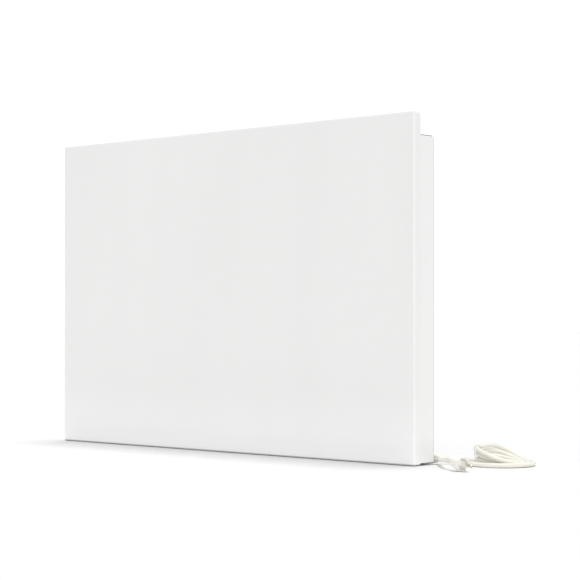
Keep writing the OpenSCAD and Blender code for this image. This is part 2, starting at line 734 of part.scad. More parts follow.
wire_y = element_y + 2;
wire_step = 2.8;
wire_drop = 3.2;
module supply_wires() {
    for (i = [0 : 2]) let(start = wire_hole_z + (1 - i) * wire_step, run = block_z - 7 - wire_drop * i)
        color([[0.1, 0.1, 0.1], [0.9, 0.9, 0.88], [0.15, 0.45, 0.2]][i]) swept([
            [wire_hole_x, case_back + 0.6, start],
            [wire_hole_x, case_back - 3, start],
            [wire_hole_x + 8, case_back - 7, start - 1],
            [wire_hole_x + 18, block_entry_y, run],
            [pole(i) - 8, block_entry_y, run],
            [pole(i) - 2, block_entry_y, run + 3],
            [pole(i), block_entry_y, block_z - 1],
            [pole(i), block_entry_y, block_z + 4]
        ], wire_d / 2, tube_sides);
}

module live_wire() {
    tab_y = case_back - cutout_d - 7;
    color([0.1, 0.1, 0.1]) swept([
        [pole(0), block_entry_y, block_z + block_h - 4],
        [pole(0), block_entry_y, block_z + block_h + 6],
        [pole(0) - 3, block_entry_y, (block_z + cutout_z) / 2],
        [cutout_x + 16, tab_y, cutout_z - 24],
        [cutout_x + 14, tab_y - 6, cutout_z - 8],
        [cutout_x + 9, tab_y - 5, cutout_z],
        [cutout_x + 4, tab_y - 4, cutout_z],
        [cutout_x + 4, tab_y - 1, cutout_z]
    ], wire_d / 2, tube_sides);
}

module link_wire() {
    tab_y = case_back - cutout_d - 7;
    end_x = stud_x + stud_l;
    end_z = element_mid + tube_gap / 2;
    color([0.6, 0.12, 0.1]) swept([
        [cutout_x - 4, tab_y - 1, cutout_z],
        [cutout_x - 4, tab_y - 4, cutout_z],
        [cutout_x - 9, tab_y - 5, cutout_z - 2],
        [cutout_x - 13, tab_y - 4, cutout_z - 14],
        [end_x + 14, element_y, end_z + 16],
        [end_x + 9, element_y, end_z + 2],
        [end_x + 4, element_y, end_z],
        [end_x, element_y, end_z]
    ], wire_d / 2, tube_sides);
}

module neutral_wire() {
    end_x = stud_x + stud_l;
    end_z = element_mid - tube_gap / 2;
    color([0.9, 0.9, 0.88]) swept([
        [pole(1), block_entry_y, block_z + block_h - 4],
        [pole(1), block_entry_y, block_z + block_h + 5],
        [pole(1) - 6, wire_y, block_z + block_h + 14],
        [end_x + 22, element_y, end_z - 4],
        [end_x + 10, element_y, end_z],
        [end_x, element_y, end_z]
    ], wire_d / 2, tube_sides);
}

module earth_wire() {
    color([0.15, 0.45, 0.2]) swept([
        [pole(2), block_entry_y, block_z + block_h - 4],
        [pole(2), block_entry_y, block_z + block_h + 5],
        [pole(2) + 2, case_back - 9, block_z + block_h + 16],
        [earth_x, case_back - 9, earth_z - 14],
        [earth_x, case_back - 8, earth_z - 4.2]
    ], wire_d / 2, tube_sides);
}

module earth_stud() {
    color([0.78, 0.66, 0.35]) translate([earth_x, plate_back, earth_z]) rotate([90, 0, 0]) {
        translate([0, 0, -1]) cylinder(h = 1, r = 3.8);
        cylinder(h = 14, r = earth_r);
        translate([0, 0, back_t]) cylinder(h = 2.6, r = 4.2, $fn = 6);
        translate([0, 0, back_t + 4.6]) cylinder(h = 2.6, r = 4.2, $fn = 6);
    }
}

module back_plate_screws() {
    color([0.8, 0.81, 0.82]) for (p = case_screws) translate([p.x, plate_back, p.y]) pan_screw(5);
}

module panel_screws() {
    color([0.8, 0.81, 0.82]) for (p = case_screws) translate([p.x, shield_back, p.y]) pan_screw(8);
}

module bracket_screws() {
    points = concat(bracket_screw_points, cutout_screw_points, block_screw_points);
    color([0.8, 0.81, 0.82]) for (p = points) translate([p.x, plate_back, p.y]) pan_screw(6);
}

module outlet_screws() {
    color([0.8, 0.81, 0.82]) for (p = outlet_screws)
        translate([p.x, plate_back + 3, p.y]) pan_screw(9);
}

// Moulded block that leads the cord out sideways behind the case
module cord_outlet() {
    base_t = 3;
    bore_l = neck_l + 14;
    color([0.86, 0.86, 0.84]) difference() {
        union() {
            sheet_xz(plate_back, plate_back + base_t)
                round_rect(outlet_x, outlet_low, outlet_w, outlet_top - outlet_low, 4);
            sheet_xz(plate_back, plate_back + outlet_d)
                round_rect(outlet_x, outlet_low, outlet_w, outlet_mid - outlet_low, 2.5);
            translate([wire_hole_x, plate_back + e, wire_hole_z]) rotate([90, 0, 0])
                cylinder(h = back_t + 1, r = wire_hole_r - 0.1);
        }
        translate([outlet_face - bore_l, cord_y, bottom + cord_h]) rotate([0, 90, 0])
            cylinder(h = bore_l + 1, r = cord_d / 2);
        translate([wire_hole_x, plate_back + outlet_d - 2, wire_hole_z]) rotate([90, 0, 0])
            cylinder(h = outlet_d + back_t + 2, r = wire_hole_r - 1.8);
        for (p = outlet_screws) translate([p.x, plate_back + base_t + 1, p.y]) rotate([90, 0, 0])
            cylinder(h = base_t + 2, r = screw_hole_r);
    }
}

// Tapered sleeve that keeps the cord from kinking where it leaves the block
module cord_sleeve() {
    rib = 0.5;
    steps = 5;
    step = (sleeve_l - 8) / steps;
    outline = concat(
        [[0, -neck_l], [cord_d / 2 - 0.1, -neck_l], [cord_d / 2 - 0.1, 0], [sleeve_r, 0], [sleeve_r, 6]],
        [for (i = [0 : steps - 1]) let(x = 6 + i * step, r = sleeve_r - (sleeve_r - sleeve_tip_r) * x / sleeve_l)
            each [[r - rib, x + 0.4], [r - rib, x + step * 0.4], [r, x + step * 0.5], [r, x + step * 0.95]]],
        [[sleeve_tip_r, sleeve_l], [0, sleeve_l]]
    );
    color([0.86, 0.86, 0.84]) translate([outlet_face, cord_y, bottom + cord_h]) rotate([0, 90, 0])
        rotate_extrude() polygon(outline);
}

module cord_lead() {
    color([0.9, 0.89, 0.83]) swept(lead_line, cord_r, tube_sides,
        lead_line[1] - [end_reach, 0, 0], hank_line[1]);
}

module cord_hank() {
    color([0.9, 0.89, 0.83]) swept(hank_line, cord_r, hank_sides,
        lead_line[len(lead_line) - 2], plug_line[1]);
}

module cord_plug_end() {
    color([0.9, 0.89, 0.83]) swept(plug_line, cord_r, tube_sides,
        hank_line[hank_rings - 1], plug_line[len(plug_line) - 2] + end_reach * plug_axis);
}

// Flat strap round the waist of the hank
module hank_tie() {
    tie_at = 20;
    tie_w = 4;
    tie_t = 0.9;
    room = 1.4;
    color([0.88, 0.88, 0.84]) translate(side_place([hank_c.x - hank_run / 2, hank_c.y, 0]))
        rotate([0, 0, hank_angle(tie_at)]) rotate([90, 0, 0]) linear_extrude(tie_w, center = true) difference() {
            tie_outline(tie_at, cord_r + room + tie_t);
            tie_outline(tie_at, cord_r + room);
        }
}
module tie_outline(k, r) {
    hull() for (i = [k, k + 2 * loop_rings]) translate([hank_radius(i), hank_height(i)]) circle(r);
}

// Everything on the plug is drawn with its face at the origin and its blades along +X
module at_plug() {
    translate(side_place(plug_face)) rotate([0, 0, plug_az]) rotate([0, plug_dip, 0])
        rotate([plug_roll, 0, 0]) children();
}

module plug_body() {
    nose_r = 3;
    tail_w = plug_w * 0.72;
    tail_h = plug_h * 0.78;
    color([0.95, 0.94, 0.9]) at_plug() difference() {
        intersection() {
            translate([-plug_l, 0, 0]) rotate([90, 0, 90]) linear_extrude(plug_l)
                round_rect(-plug_w / 2, -plug_h / 2, plug_w, plug_h, 7);
            translate([0, 0, -plug_h]) linear_extrude(2 * plug_h)
                plug_outline(plug_w, tail_w, nose_r);
            rotate([90, 0, 0]) translate([0, 0, -plug_w]) linear_extrude(2 * plug_w)
                plug_outline(plug_h, tail_h, nose_r);
        }
        for (s = [-1, 1]) blade_root(s);
        translate([-prong_root, 0, prong_z + ground_rise]) rotate([0, 90, 0])
            cylinder(h = prong_root + 1, r = ground_r + hold_clear);
    }
}

// Side outline of the plug: full at the face, with a waist for the fingers and a rounded tail
module plug_outline(w, tail, r) {
    a = w / 2;
    b = tail / 2;
    polygon(concat(
        [[0, -a + 1.2], [0, a - 1.2], [-1.2, a]],
        [for (i = [0 : 8]) let(t = i / 8) [-7 - t * (plug_l - 12), a - (a - b) * smooth(t)]],
        [for (i = [1 : 5]) [-plug_l + r * (1 - sin(18 * i)), b - r * (1 - cos(18 * i))]],
        [for (i = [5 : -1 : 1]) [-plug_l + r * (1 - sin(18 * i)), -b + r * (1 - cos(18 * i))]],
        [for (i = [8 : -1 : 0]) let(t = i / 8) [-7 - t * (plug_l - 12), -a + (a - b) * smooth(t)]],
        [[-1.2, -a]]
    ));
}

module blade_root(s) {
    translate([-prong_root, s * prong_dx / 2 - prong_t / 2, prong_z - prong_w / 2])
        cube([prong_root + 1, prong_t, prong_w]);
}

// Ribbed sleeve moulded on the cord behind the plug
module plug_sleeve() {
    base_r = cord_r + 1.8;
    tip_r = cord_r + 0.6;
    ribs = 3;
    step = (plug_sleeve_l - 2) / ribs;
    outline = concat(
        [[0, 0], [base_r, 0]],
        [for (i = [0 : ribs - 1]) let(x = 1 + i * step, r = base_r - (base_r - tip_r) * x / plug_sleeve_l)
            each [[r, x + 0.2], [r, x + step * 0.5], [r - 0.7, x + step * 0.6], [r - 0.7, x + step * 0.9]]],
        [[tip_r, plug_sleeve_l - 0.8], [tip_r, plug_sleeve_l], [0, plug_sleeve_l]]
    );
    color([0.95, 0.94, 0.9]) at_plug() translate([-plug_l, 0, 0]) rotate([0, -90, 0])
        rotate_extrude() polygon(outline);
}

module plug_blades() {
    blade = [
        [-prong_root, -prong_w / 2], [prong_l - 1.6, -prong_w / 2], [prong_l, -prong_w / 2 + 1.2],
        [prong_l, prong_w / 2 - 1.2], [prong_l - 1.6, prong_w / 2], [-prong_root, prong_w / 2]
    ];
    color([0.72, 0.7, 0.66]) at_plug() for (s = [-1, 1])
        translate([0, s * prong_dx / 2, prong_z]) rotate([90, 0, 0])
            translate([0, 0, -prong_t / 2]) linear_extrude(prong_t) difference() {
                polygon(blade);
                translate([prong_l - 4.2, 0]) circle(1.6);
            }
}

module plug_ground_pin() {
    color([0.72, 0.7, 0.66]) at_plug() translate([-prong_root, 0, prong_z + ground_rise])
        rotate([0, 90, 0]) {
            cylinder(h = prong_root + ground_l - ground_r, r = ground_r);
            translate([0, 0, prong_root + ground_l - ground_r]) sphere(ground_r);
        }
}

front_panel();
panel_stiffeners();
case_frame();
back_plate();
outlet_grille();
heat_shield();
insulation_board();
insulation_pins();
element_tube();
element_fins();
element_brackets();
ceramic_bushings();
terminal_insulators();
element_terminals();
thermal_cutout();
terminal_block();
supply_wires();
live_wire();
link_wire();
neutral_wire();
earth_wire();
earth_stud();
hook_doublers();
wall_bumpers();
back_plate_screws();
panel_screws();
bracket_screws();
outlet_screws();
cord_outlet();
cord_sleeve();
cord_lead();
cord_hank();
cord_plug_end();
hank_tie();
plug_body();
plug_sleeve();
plug_blades();
plug_ground_pin();
wall_rail();
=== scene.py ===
# %% [markdown]
# # Wall convector heater
# A slim electric heater: a flat folded steel panel on a shallower case, hung on a wall rail.
# The shapes with real sizes arrive as a fixed frame. This lesson dresses them: it sets the
# camera and the light, lays the supply cord, remakes the pieces that need finer forms, and
# gives every surface a finish built from nodes. Everything is in metres, X runs along the
# panel, the front faces -Y, the wall is the plane y = 0, and the floor is at z = -0.48.

# %% Load the frame
import math

import bmesh
import bpy
from mathutils import Matrix, Vector


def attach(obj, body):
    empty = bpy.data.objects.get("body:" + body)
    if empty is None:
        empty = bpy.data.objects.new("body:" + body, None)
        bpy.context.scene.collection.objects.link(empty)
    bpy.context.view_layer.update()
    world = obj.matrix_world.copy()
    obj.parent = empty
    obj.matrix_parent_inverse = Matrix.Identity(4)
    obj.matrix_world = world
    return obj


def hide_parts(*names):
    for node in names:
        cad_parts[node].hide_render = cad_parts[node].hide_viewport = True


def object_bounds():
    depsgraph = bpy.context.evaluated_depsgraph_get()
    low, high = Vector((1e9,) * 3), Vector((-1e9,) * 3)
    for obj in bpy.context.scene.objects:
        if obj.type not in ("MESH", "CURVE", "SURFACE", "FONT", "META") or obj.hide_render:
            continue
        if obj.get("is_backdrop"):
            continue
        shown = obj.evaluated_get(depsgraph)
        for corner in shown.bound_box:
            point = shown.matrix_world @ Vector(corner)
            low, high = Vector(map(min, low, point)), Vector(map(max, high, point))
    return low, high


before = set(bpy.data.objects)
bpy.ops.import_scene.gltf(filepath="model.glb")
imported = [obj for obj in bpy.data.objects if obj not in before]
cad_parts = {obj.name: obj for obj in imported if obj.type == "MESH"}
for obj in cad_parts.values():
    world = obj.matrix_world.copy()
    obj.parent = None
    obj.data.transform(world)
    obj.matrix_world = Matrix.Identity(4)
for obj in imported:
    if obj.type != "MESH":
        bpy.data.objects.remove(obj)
cad_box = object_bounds()
FLOOR = -0.480

# %% [markdown]
# ## Camera
# The photo was taken from low down and to the right with a long lens: the upright edges stay
# parallel, so the camera looks level, and the frame is shifted instead of tilted. The place
# and the lens were worked out from where the corners of the panel fall in the picture.

# %% Camera
PHOTO_PIXELS = 580
FOCAL_PIXELS = 1693
HORIZON_PIXEL = 318.3
CAMERA_AT = (2.2566, -2.3601, FLOOR + 0.2540)
CAMERA_TURN = 42.277

lens = bpy.data.cameras.new("camera")
lens.sensor_width = 36
lens.lens = FOCAL_PIXELS / PHOTO_PIXELS * lens.sensor_width
lens.shift_y = (HORIZON_PIXEL - PHOTO_PIXELS / 2) / PHOTO_PIXELS
lens.clip_end = 60
camera = bpy.data.objects.new("camera", lens)
camera.location = CAMERA_AT
camera.rotation_euler = (math.radians(90), 0, math.radians(CAMERA_TURN))
bpy.context.scene.collection.objects.link(camera)
bpy.context.scene.camera = camera
print("lens of", round(lens.lens, 1), "mm")

# %% [markdown]
# ## Supply cord
# The cord is one length of round three-core cable. It leaves the heater low at the back,
# drops to the floor, runs round a hank of three and a half turns that a strap holds, and
# comes back past the heater's end to the plug. The photo shows it from end to end, so the
# route that was laid over the photo gives the length as well as the shape.
# A curve with a round bevel suits it, because the line of its centre is what matters: the
# route is written as points, and a spline through them bends as smoothly as cable does.

# %% Route of the cord
CORD_D = 0.008
SIDE_X = 0.462


def beside(x, y, h):
    """A point measured in millimetres from the case's side, the wall and the floor."""
    return Vector((SIDE_X + x / 1000, y / 1000, FLOOR + h / 1000))


LEAD = [
    (-38, -5.6, 15.5), (-29, -5.4, 15.3), (-20, -4.4, 14.6), (-11, -1.8, 13.4), (-2, 2, 11.2),
    (6.5, 5.4, 8.4), (16, 8.2, 5.8), (27, 9.4, 4.6), (39, 8.6, 4.2), (51, 5.8, 4.2),
    (63, 2, 4.2), (75, -2.2, 4.2), (87, -5.6, 4.2), (98, -6.6, 4.2),
]
TO_PLUG = [
    (52, 66.4, 4.2), (36, 58.4, 4.2), (20.5, 51.8, 4.2), (5, 48, 4.2), (-10.5, 48.4, 4.2),
    (-24.5, 53, 4.2), (-37.5, 58.6, 4.2), (-50.5, 60.8, 4.2), (-62, 58.6, 4.2),
    (-71.6, 52.8, 4.2), (-78.7, 44.2, 4.2), (-82.5, 33.6, 4.2), (-82.5, 22.3, 4.2),
    (-78.7, 11.7, 4.2), (-71.4, 3.1, 4.2), (-61.5, -2.8, 4.2), (-50, -5, 4.2),
    (-38, -5.1, 4.2), (-26, -5, 4.2), (-14.5, -4.9, 4.6), (-5, -5.8, 5.8), (3.3, -8.4, 7.4),
    (10.6, -13.6, 8.8), (17.4, -20.4, 9.9), (24.5, -28.8, 10.8), (33, -38, 11.4),
    (42, -47.6, 12.1), (51.5, -57, 13), (61.8, -65.9, 14.3), (73, -73.6, 16.2),
]


def ease(t):
    """A smooth step from 0 to 1."""
    t = max(0.0, min(1.0, t))
    return t * t * (3 - 2 * t)


print("points before the hank:", len(LEAD), "and after it:", len(TO_PLUG))

# %% [markdown]
# ### Hank
# The turns of the hank lie side by side at the right end and lean until they stand over one
# another at the left end, where a strap holds them. A rule gives every point: an oval, wider
# by one step for each turn outward, and an angle of lean that grows towards the left. The
# values are in millimetres, degrees and rings, and a ring is one point of the route.

# %% Hank of cord
HANK_AT = (88, 52)
RUN, FOLD_R, STEP, LOW = 14, 26, 9.2, 4.2
FLAT_SIDE, WIDER = 0.35, 0.6
RINGS, PER_LOOP, FIRST = 85, 24, -75
LEAN_FROM, LEAN_NEAR, LEAN_TO = 29, 48, -62
LEVEL_RINGS, LEAN_RINGS, LAST_RINGS, HUMP_ANGLE = 3, 6, 12, 135


def hank_place(k):
    """Angle, shift, radius and height of the cord's centre at ring k of the hank."""
    angle = math.radians(FIRST + 360 / PER_LOOP * k)
    level = (RINGS - k) / PER_LOOP
    shift = RUN / 2 * math.sin(math.pi / 2 * max(-1, min(1, math.cos(angle) / FLAT_SIDE)))
    along = shift + (FOLD_R + WIDER * STEP * level) * math.cos(angle)
    lean_from = LEAN_FROM + LEAN_NEAR * (1 - math.sin(angle)) / 2
    lean = math.pi / 2 * ease((lean_from - along) / (lean_from - LEAN_TO))
    lean *= ease((k - LEVEL_RINGS) / LEAN_RINGS)
    hump = max(0, math.cos(angle - math.radians(HUMP_ANGLE))) ** 4 if k <= RINGS - LAST_RINGS else 0
    radius = FOLD_R + STEP * level * math.cos(lean)
    return angle, shift, radius, LOW + STEP * level * math.sin(lean) + hump


def hank_point(k):
    """The cord's centre at ring k of the hank."""
    angle, shift, radius, height = hank_place(k)
    return beside(HANK_AT[0] + shift + radius * math.cos(angle),
                  HANK_AT[1] + radius * math.sin(angle), height)


hank = [hank_point(k) for k in range(RINGS + 1)]
print("hank of", round(RINGS / PER_LOOP, 1), "turns and", len(hank), "points")

# %% Place of the plug
PLUG_L, PLUG_SLEEVE_L = 0.028, 0.010
plug_place = (
    Matrix.Translation(beside(119.5, -92, 12.9))
    @ Matrix.Rotation(math.radians(-20), 4, "Z")
    @ Matrix.Rotation(math.radians(8), 4, "Y")
    @ Matrix.Rotation(math.radians(20), 4, "X")
)
plug_tail = plug_place @ Vector((-PLUG_L - PLUG_SLEEVE_L, 0, 0))
print("plug's face at", [round(v, 4) for v in plug_place.translation])


# %% Smooth line through the points
def smooth_line(points, parts):
    """More points on the rounded path that passes through all the given ones."""
    line = []
    for i in range(len(points) - 1):
        a, b = points[max(i - 1, 0)], points[i]
        c, d = points[i + 1], points[min(i + 2, len(points) - 1)]
        for j in range(parts):
            t = j / parts
            line.append(0.5 * ((2 * b) + (c - a) * t + (2 * a - 5 * b + 4 * c - d) * t * t
                               + (3 * b - a - 3 * c + d) * t ** 3))
    return line + [points[-1]]


route = [beside(*p) for p in LEAD] + hank + [beside(*p) for p in TO_PLUG] + [plug_tail]
cord_line = smooth_line(route, parts=4)
cord_length = sum((b - a).length for a, b in zip(cord_line, cord_line[1:]))

# %% Cord
cord_curve = bpy.data.curves.new("supply_cord", "CURVE")
cord_curve.dimensions = "3D"
cord_curve.bevel_depth = CORD_D / 2
cord_curve.bevel_resolution = 5
cord_curve.use_fill_caps = True
spline = cord_curve.splines.new("POLY")
spline.points.add(len(cord_line) - 1)
for point, place in zip(spline.points, cord_line):
    point.co = (*place, 1)
spline.use_smooth = True


def plain_mesh(holder):
    """The evaluated shape of an object as a plain, welded mesh; the object is removed."""
    bpy.context.scene.collection.objects.link(holder)
    shape = holder.evaluated_get(bpy.context.evaluated_depsgraph_get())
    mesh = bpy.data.meshes.new_from_object(shape)
    bpy.data.objects.remove(holder)
    seams = bmesh.new()
    seams.from_mesh(mesh)
    bmesh.ops.remove_doubles(seams, verts=seams.verts, dist=1e-6)
    seams.to_mesh(mesh)
    seams.free()
    return mesh


supply_cord = bpy.data.objects.new(
    "supply_cord", plain_mesh(bpy.data.objects.new("cord_line", cord_curve)))
bpy.context.scene.collection.objects.link(supply_cord)
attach(supply_cord, "heater")
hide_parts("cord_lead", "cord_hank", "cord_plug_end")
print("cord laid with", len(supply_cord.data.polygons), "faces")

# %% [markdown]
# ## A short way to write node trees
# A finish is a sum of masks and colours, and sums read best as plain arithmetic. One class
# wraps a socket, so that `1 - mask * 0.3` adds the Math nodes by itself, and one method adds
# any other node with its settings and inputs.


# %% Sockets that add up
class Value:
    """A socket of a node tree that takes part in sums."""

    def __init__(self, nodes, socket):
        self.nodes, self.socket = nodes, socket

    def sum(self, operation, *terms):
        """A Math node on these terms."""
        return self.nodes.add("ShaderNodeMath", {"operation": operation}, dict(enumerate(terms)))

    def out(self, name):
        """Another output of the same node."""
        return Value(self.nodes, self.socket.node.outputs[name])

    def __add__(self, other):
        return self.sum("ADD", self, other)

    def __sub__(self, other):
        return self.sum("SUBTRACT", self, other)

    def __rsub__(self, other):
        return self.sum("SUBTRACT", other, self)

    def __mul__(self, other):
        return self.sum("MULTIPLY", self, other)

    def __truediv__(self, other):
        return self.sum("DIVIDE", self, other)

    __radd__ = __add__


# %% Node trees
class Nodes:
    """A node tree, for a finish or for a shape, and the one way to add to it."""

    def __init__(self, tree):
        self.tree = tree

    def add(self, kind, settings=None, inputs=None, out=0):
        """A node with its settings and inputs; gives back one of its outputs."""
        node = self.tree.nodes.new(kind)
        for name, value in (settings or {}).items():
            setattr(node, name, value)
        for name, value in (inputs or {}).items():
            if isinstance(value, Value):
                self.tree.links.new(value.socket, node.inputs[name])
            else:
                node.inputs[name].default_value = value
        return Value(self, node.outputs[out]) if node.outputs else None


# %% [markdown]
# ## Light and floor
# The photo is a cut-out on white with a soft shadow. A white sky lights the heater from all
# sides, but only the camera sees it at full strength: the rest of the light comes from two
# distant soft lamps. The high one stands a little behind the heater and leaves a short
# shadow in front of the panel. The low one stands by the camera and lifts the rounded edges
# that face it. Distant lamps light the whole floor evenly, so no horizon shows.

# %% Floor
FLOOR_HALF = 30
FLOOR_GAP = 0.0003

floor_mesh = bpy.data.meshes.new("floor")
sheet = bmesh.new()
bmesh.ops.create_grid(sheet, x_segments=1, y_segments=1, size=FLOOR_HALF)
bmesh.ops.translate(sheet, verts=sheet.verts, vec=(0, 0, FLOOR - FLOOR_GAP))
sheet.to_mesh(floor_mesh)
sheet.free()
floor = bpy.data.objects.new("floor", floor_mesh)
bpy.context.scene.collection.objects.link(floor)
floor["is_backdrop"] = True
print("floor of", 2 * FLOOR_HALF, "m")

# %% Sky
SEEN_STRENGTH, LIT_STRENGTH = 1.05, 0.72
WHITE = (1, 1, 1, 1)

world = bpy.data.worlds.new("studio")
world.use_nodes = True
world.node_tree.nodes.clear()
sky = Nodes(world.node_tree)
seen = sky.add("ShaderNodeBackground", None, {"Color": WHITE, "Strength": SEEN_STRENGTH})
lit = sky.add("ShaderNodeBackground", None, {"Color": WHITE, "Strength": LIT_STRENGTH})
straight = sky.add("ShaderNodeLightPath", out="Is Camera Ray")
sky.add("ShaderNodeOutputWorld", None, {
    "Surface": sky.add("ShaderNodeMixShader", None, {0: straight, 1: lit, 2: seen})})
bpy.context.scene.world = world
bpy.context.scene.view_settings.view_transform = "Standard"
print("sky seen at", SEEN_STRENGTH, "and lighting at", LIT_STRENGTH)


# %% Lamps
def soft_sun(name, azimuth, elevation, spread, power):
    """A distant lamp in degrees: azimuth 0 is in front of the panel, 90 on its right."""
    lamp = bpy.data.lights.new(name, "SUN")
    lamp.angle, lamp.energy = math.radians(spread), power
    holder = bpy.data.objects.new(name, lamp)
    a, e = math.radians(azimuth), math.radians(elevation)
    toward = Vector((math.sin(a) * math.cos(e), -math.cos(a) * math.cos(e), math.sin(e)))
    holder.rotation_euler = toward.to_track_quat("Z", "Y").to_euler()
    bpy.context.scene.collection.objects.link(holder)


soft_sun("top_lamp", azimuth=180, elevation=83, spread=20, power=1.62)
soft_sun("front_lamp", azimuth=47, elevation=8, spread=40, power=0.68)

# %% [markdown]
# ## Finishes
# Each surface gets its own small tree. They all start from the same base: a Principled
# shader and the piece's own coordinates. A noise at the scale of the grain roughens it, and
# a slow noise shifts colour and roughness the way handling and uneven coating do; in the
# powder coat the colour shift is painted sheen.


# %% Base of a finish
class Finish(Nodes):
    """A material whose tree reads the piece's own coordinates, in metres."""

    def __init__(self, name, **plain):
        self.material = bpy.data.materials.new(name)
        self.material.use_nodes = True
        super().__init__(self.material.node_tree)
        self.tree.nodes.clear()
        self.shader = self.tree.nodes.new("ShaderNodeBsdfPrincipled")
        self.add("ShaderNodeOutputMaterial", None, {"Surface": Value(self, self.shader.outputs[0])})
        self.where = self.add("ShaderNodeTexCoord", out="Object")
        for socket, value in plain.items():
            self.set(socket.replace("_", " "), value)

    def set(self, socket, value):
        """Sets a socket of the shader to a number, or links a sum to it."""
        if isinstance(value, Value):
            self.tree.links.new(value.socket, self.shader.inputs[socket])
        else:
            self.shader.inputs[socket].default_value = value

    def noise(self, per_metre, detail=2.0, where=None):
        """A noise from 0 to 1, with this many grains in a metre."""
        return self.add("ShaderNodeTexNoise", None,
                        {"Vector": where or self.where, "Scale": per_metre, "Detail": detail})

    def mix(self, factor, first, second):
        """A colour between two, or between two sums."""
        return self.add("ShaderNodeMix", {"data_type": "RGBA"},
                        {0: factor, 6: rgba(first), 7: rgba(second)}, out=2)

    def stretched(self, x, y, z):
        """The coordinates scaled along each axis."""
        return self.add("ShaderNodeMapping", None, {"Vector": self.where, "Scale": (x, y, z)})

    def bump(self, height, depth):
        """A relief of this depth in metres."""
        self.set("Normal", self.add("ShaderNodeBump", None, {
            "Height": height, "Distance": depth, "Strength": 1.0}))


def rgba(colour):
    """A colour with its alpha, or a sum as it is."""
    return colour if isinstance(colour, Value) else (*colour, 1)


# %% [markdown]
# ### Powder coat
# The panel and the case are powder coated: a smooth white satin skin with a very fine orange
# peel and a clear top. The sheet hangs upright while it is sprayed, so the coat varies in long
# upright bands: a noise stretched along Z makes them. In roughness and in the clear top they
# are that uneven coat; in the colour they are painted sheen, soft upright reflections of the
# studio light. Two ramps over Z make the lower edge whiter: that is painted light, light thrown
# back by the floor, and how white it gets was fitted to the photo. More ramps paint shade
# towards a grey on some rims: a contact shadow along the floor, the rear edge of the case that
# turns away from the lamps, and the top rim of the panel.

# %% Places on the coated sheets
# The grey that the painted shade on the rims darkens the colour towards.
RIM_SHADE_GREY = (0.42, 0.42, 0.42)
PANEL_TOP = 0.13
CASE_BACK = -0.012
# Heights over which the painted floor light on the lower edge fades out.
FLOOR_LIGHT_H, FLOOR_LIGHT_PEAK_H = 0.14, 0.03
print("panel from", FLOOR, "to", PANEL_TOP, "m, back of the case at", CASE_BACK, "m")


# %% Powder coat
def powder_coat(name, colour, roughness=0.34, peel=0.00006, floor_light_lift=0.0, painted_shade_rims=()):
    """A sprayed coat with painted light in its colour; a painted shade rim is an axis, its start, its
    end and its strength.
    """
    finish = Finish(name, Coat_Roughness=0.12, IOR=1.5)
    # Upright bands: painted sheen in the colour, an uneven coat in roughness and the clear top.
    coat_and_sheen_bands = finish.noise(1.0, 1.0, finish.stretched(6, 6, 1.6))
    grain = finish.noise(850.0, 3.0)

    def ramp(axis, start, end, low, high):
        """A smooth rise from low to high along an axis."""
        along = finish.add("ShaderNodeSeparateXYZ", None, {"Vector": finish.where}, out=axis)
        return finish.add("ShaderNodeMapRange", {"interpolation_type": "SMOOTHSTEP"}, {
            "Value": along, "From Min": start, "From Max": end, "To Min": low, "To Max": high})

    # Painted sheen: the colour is a little darker in some upright bands.
    banded_colour = finish.mix(coat_and_sheen_bands, colour, [c * 0.955 for c in colour])
    floor_lit = finish.mix(coat_and_sheen_bands, [min(1.0, c * 1.15) for c in colour], [c * 1.11 for c in colour])
    floor_lit_most = [min(1.0, c * 1.25) for c in colour]
    # Painted light: two ramps over Z make the colour whiter towards the floor, for light thrown back by
    # it.
    shown = finish.mix(ramp("Z", FLOOR, FLOOR + FLOOR_LIGHT_H, floor_light_lift, 0.0), banded_colour, floor_lit)
    shown = finish.mix(ramp("Z", FLOOR, FLOOR + FLOOR_LIGHT_PEAK_H, floor_light_lift, 0.0), shown, floor_lit_most)
    # Painted shade: each rim ramp darkens the colour towards a grey.
    for axis, start, end, strength in painted_shade_rims:
        shown = finish.mix(ramp(axis, start, end, 0.0, strength), shown, RIM_SHADE_GREY)
    finish.set("Base Color", shown)
    finish.set("Roughness", roughness + (coat_and_sheen_bands - 0.5) * 0.06 + (grain - 0.5) * 0.05)
    finish.set("Coat Weight", 0.25 + coat_and_sheen_bands * 0.1)
    finish.bump(grain + finish.noise(260.0) * 0.6, peel)
    return finish.material


# The panel and the case get painted floor light at their lower edge.
panel_white = powder_coat("panel_white", (0.875, 0.875, 0.87), floor_light_lift=0.7, painted_shade_rims=[
    # Painted shade on the top rim, and a painted contact shadow along the bottom edge.
    ("Z", PANEL_TOP - 0.0035, PANEL_TOP - 0.0005, 0.3),
    ("Z", FLOOR + 0.004, FLOOR + 0.0005, 0.95)])
case_white = powder_coat("case_white", (0.895, 0.895, 0.89), floor_light_lift=0.5, painted_shade_rims=[
    # Painted shade on the rear edge of the case, which turns away from the lamps.
    ("Y", CASE_BACK - 0.005, CASE_BACK - 0.002, 0.5)])
grille_grey = powder_coat("grille_grey", (0.14, 0.145, 0.15), 0.5)
print("powder coats:", panel_white.name, case_white.name, grille_grey.name)

# %% [markdown]
# ### Bare sheet metal
# The back, the rail and the brackets are zinc coated. Hot dipped zinc freezes in flat
# crystals, so a Voronoi pattern of cells, each with its own shade and roughness, is the
# natural choice. Plated screws have no crystals, only a fine turned grain.


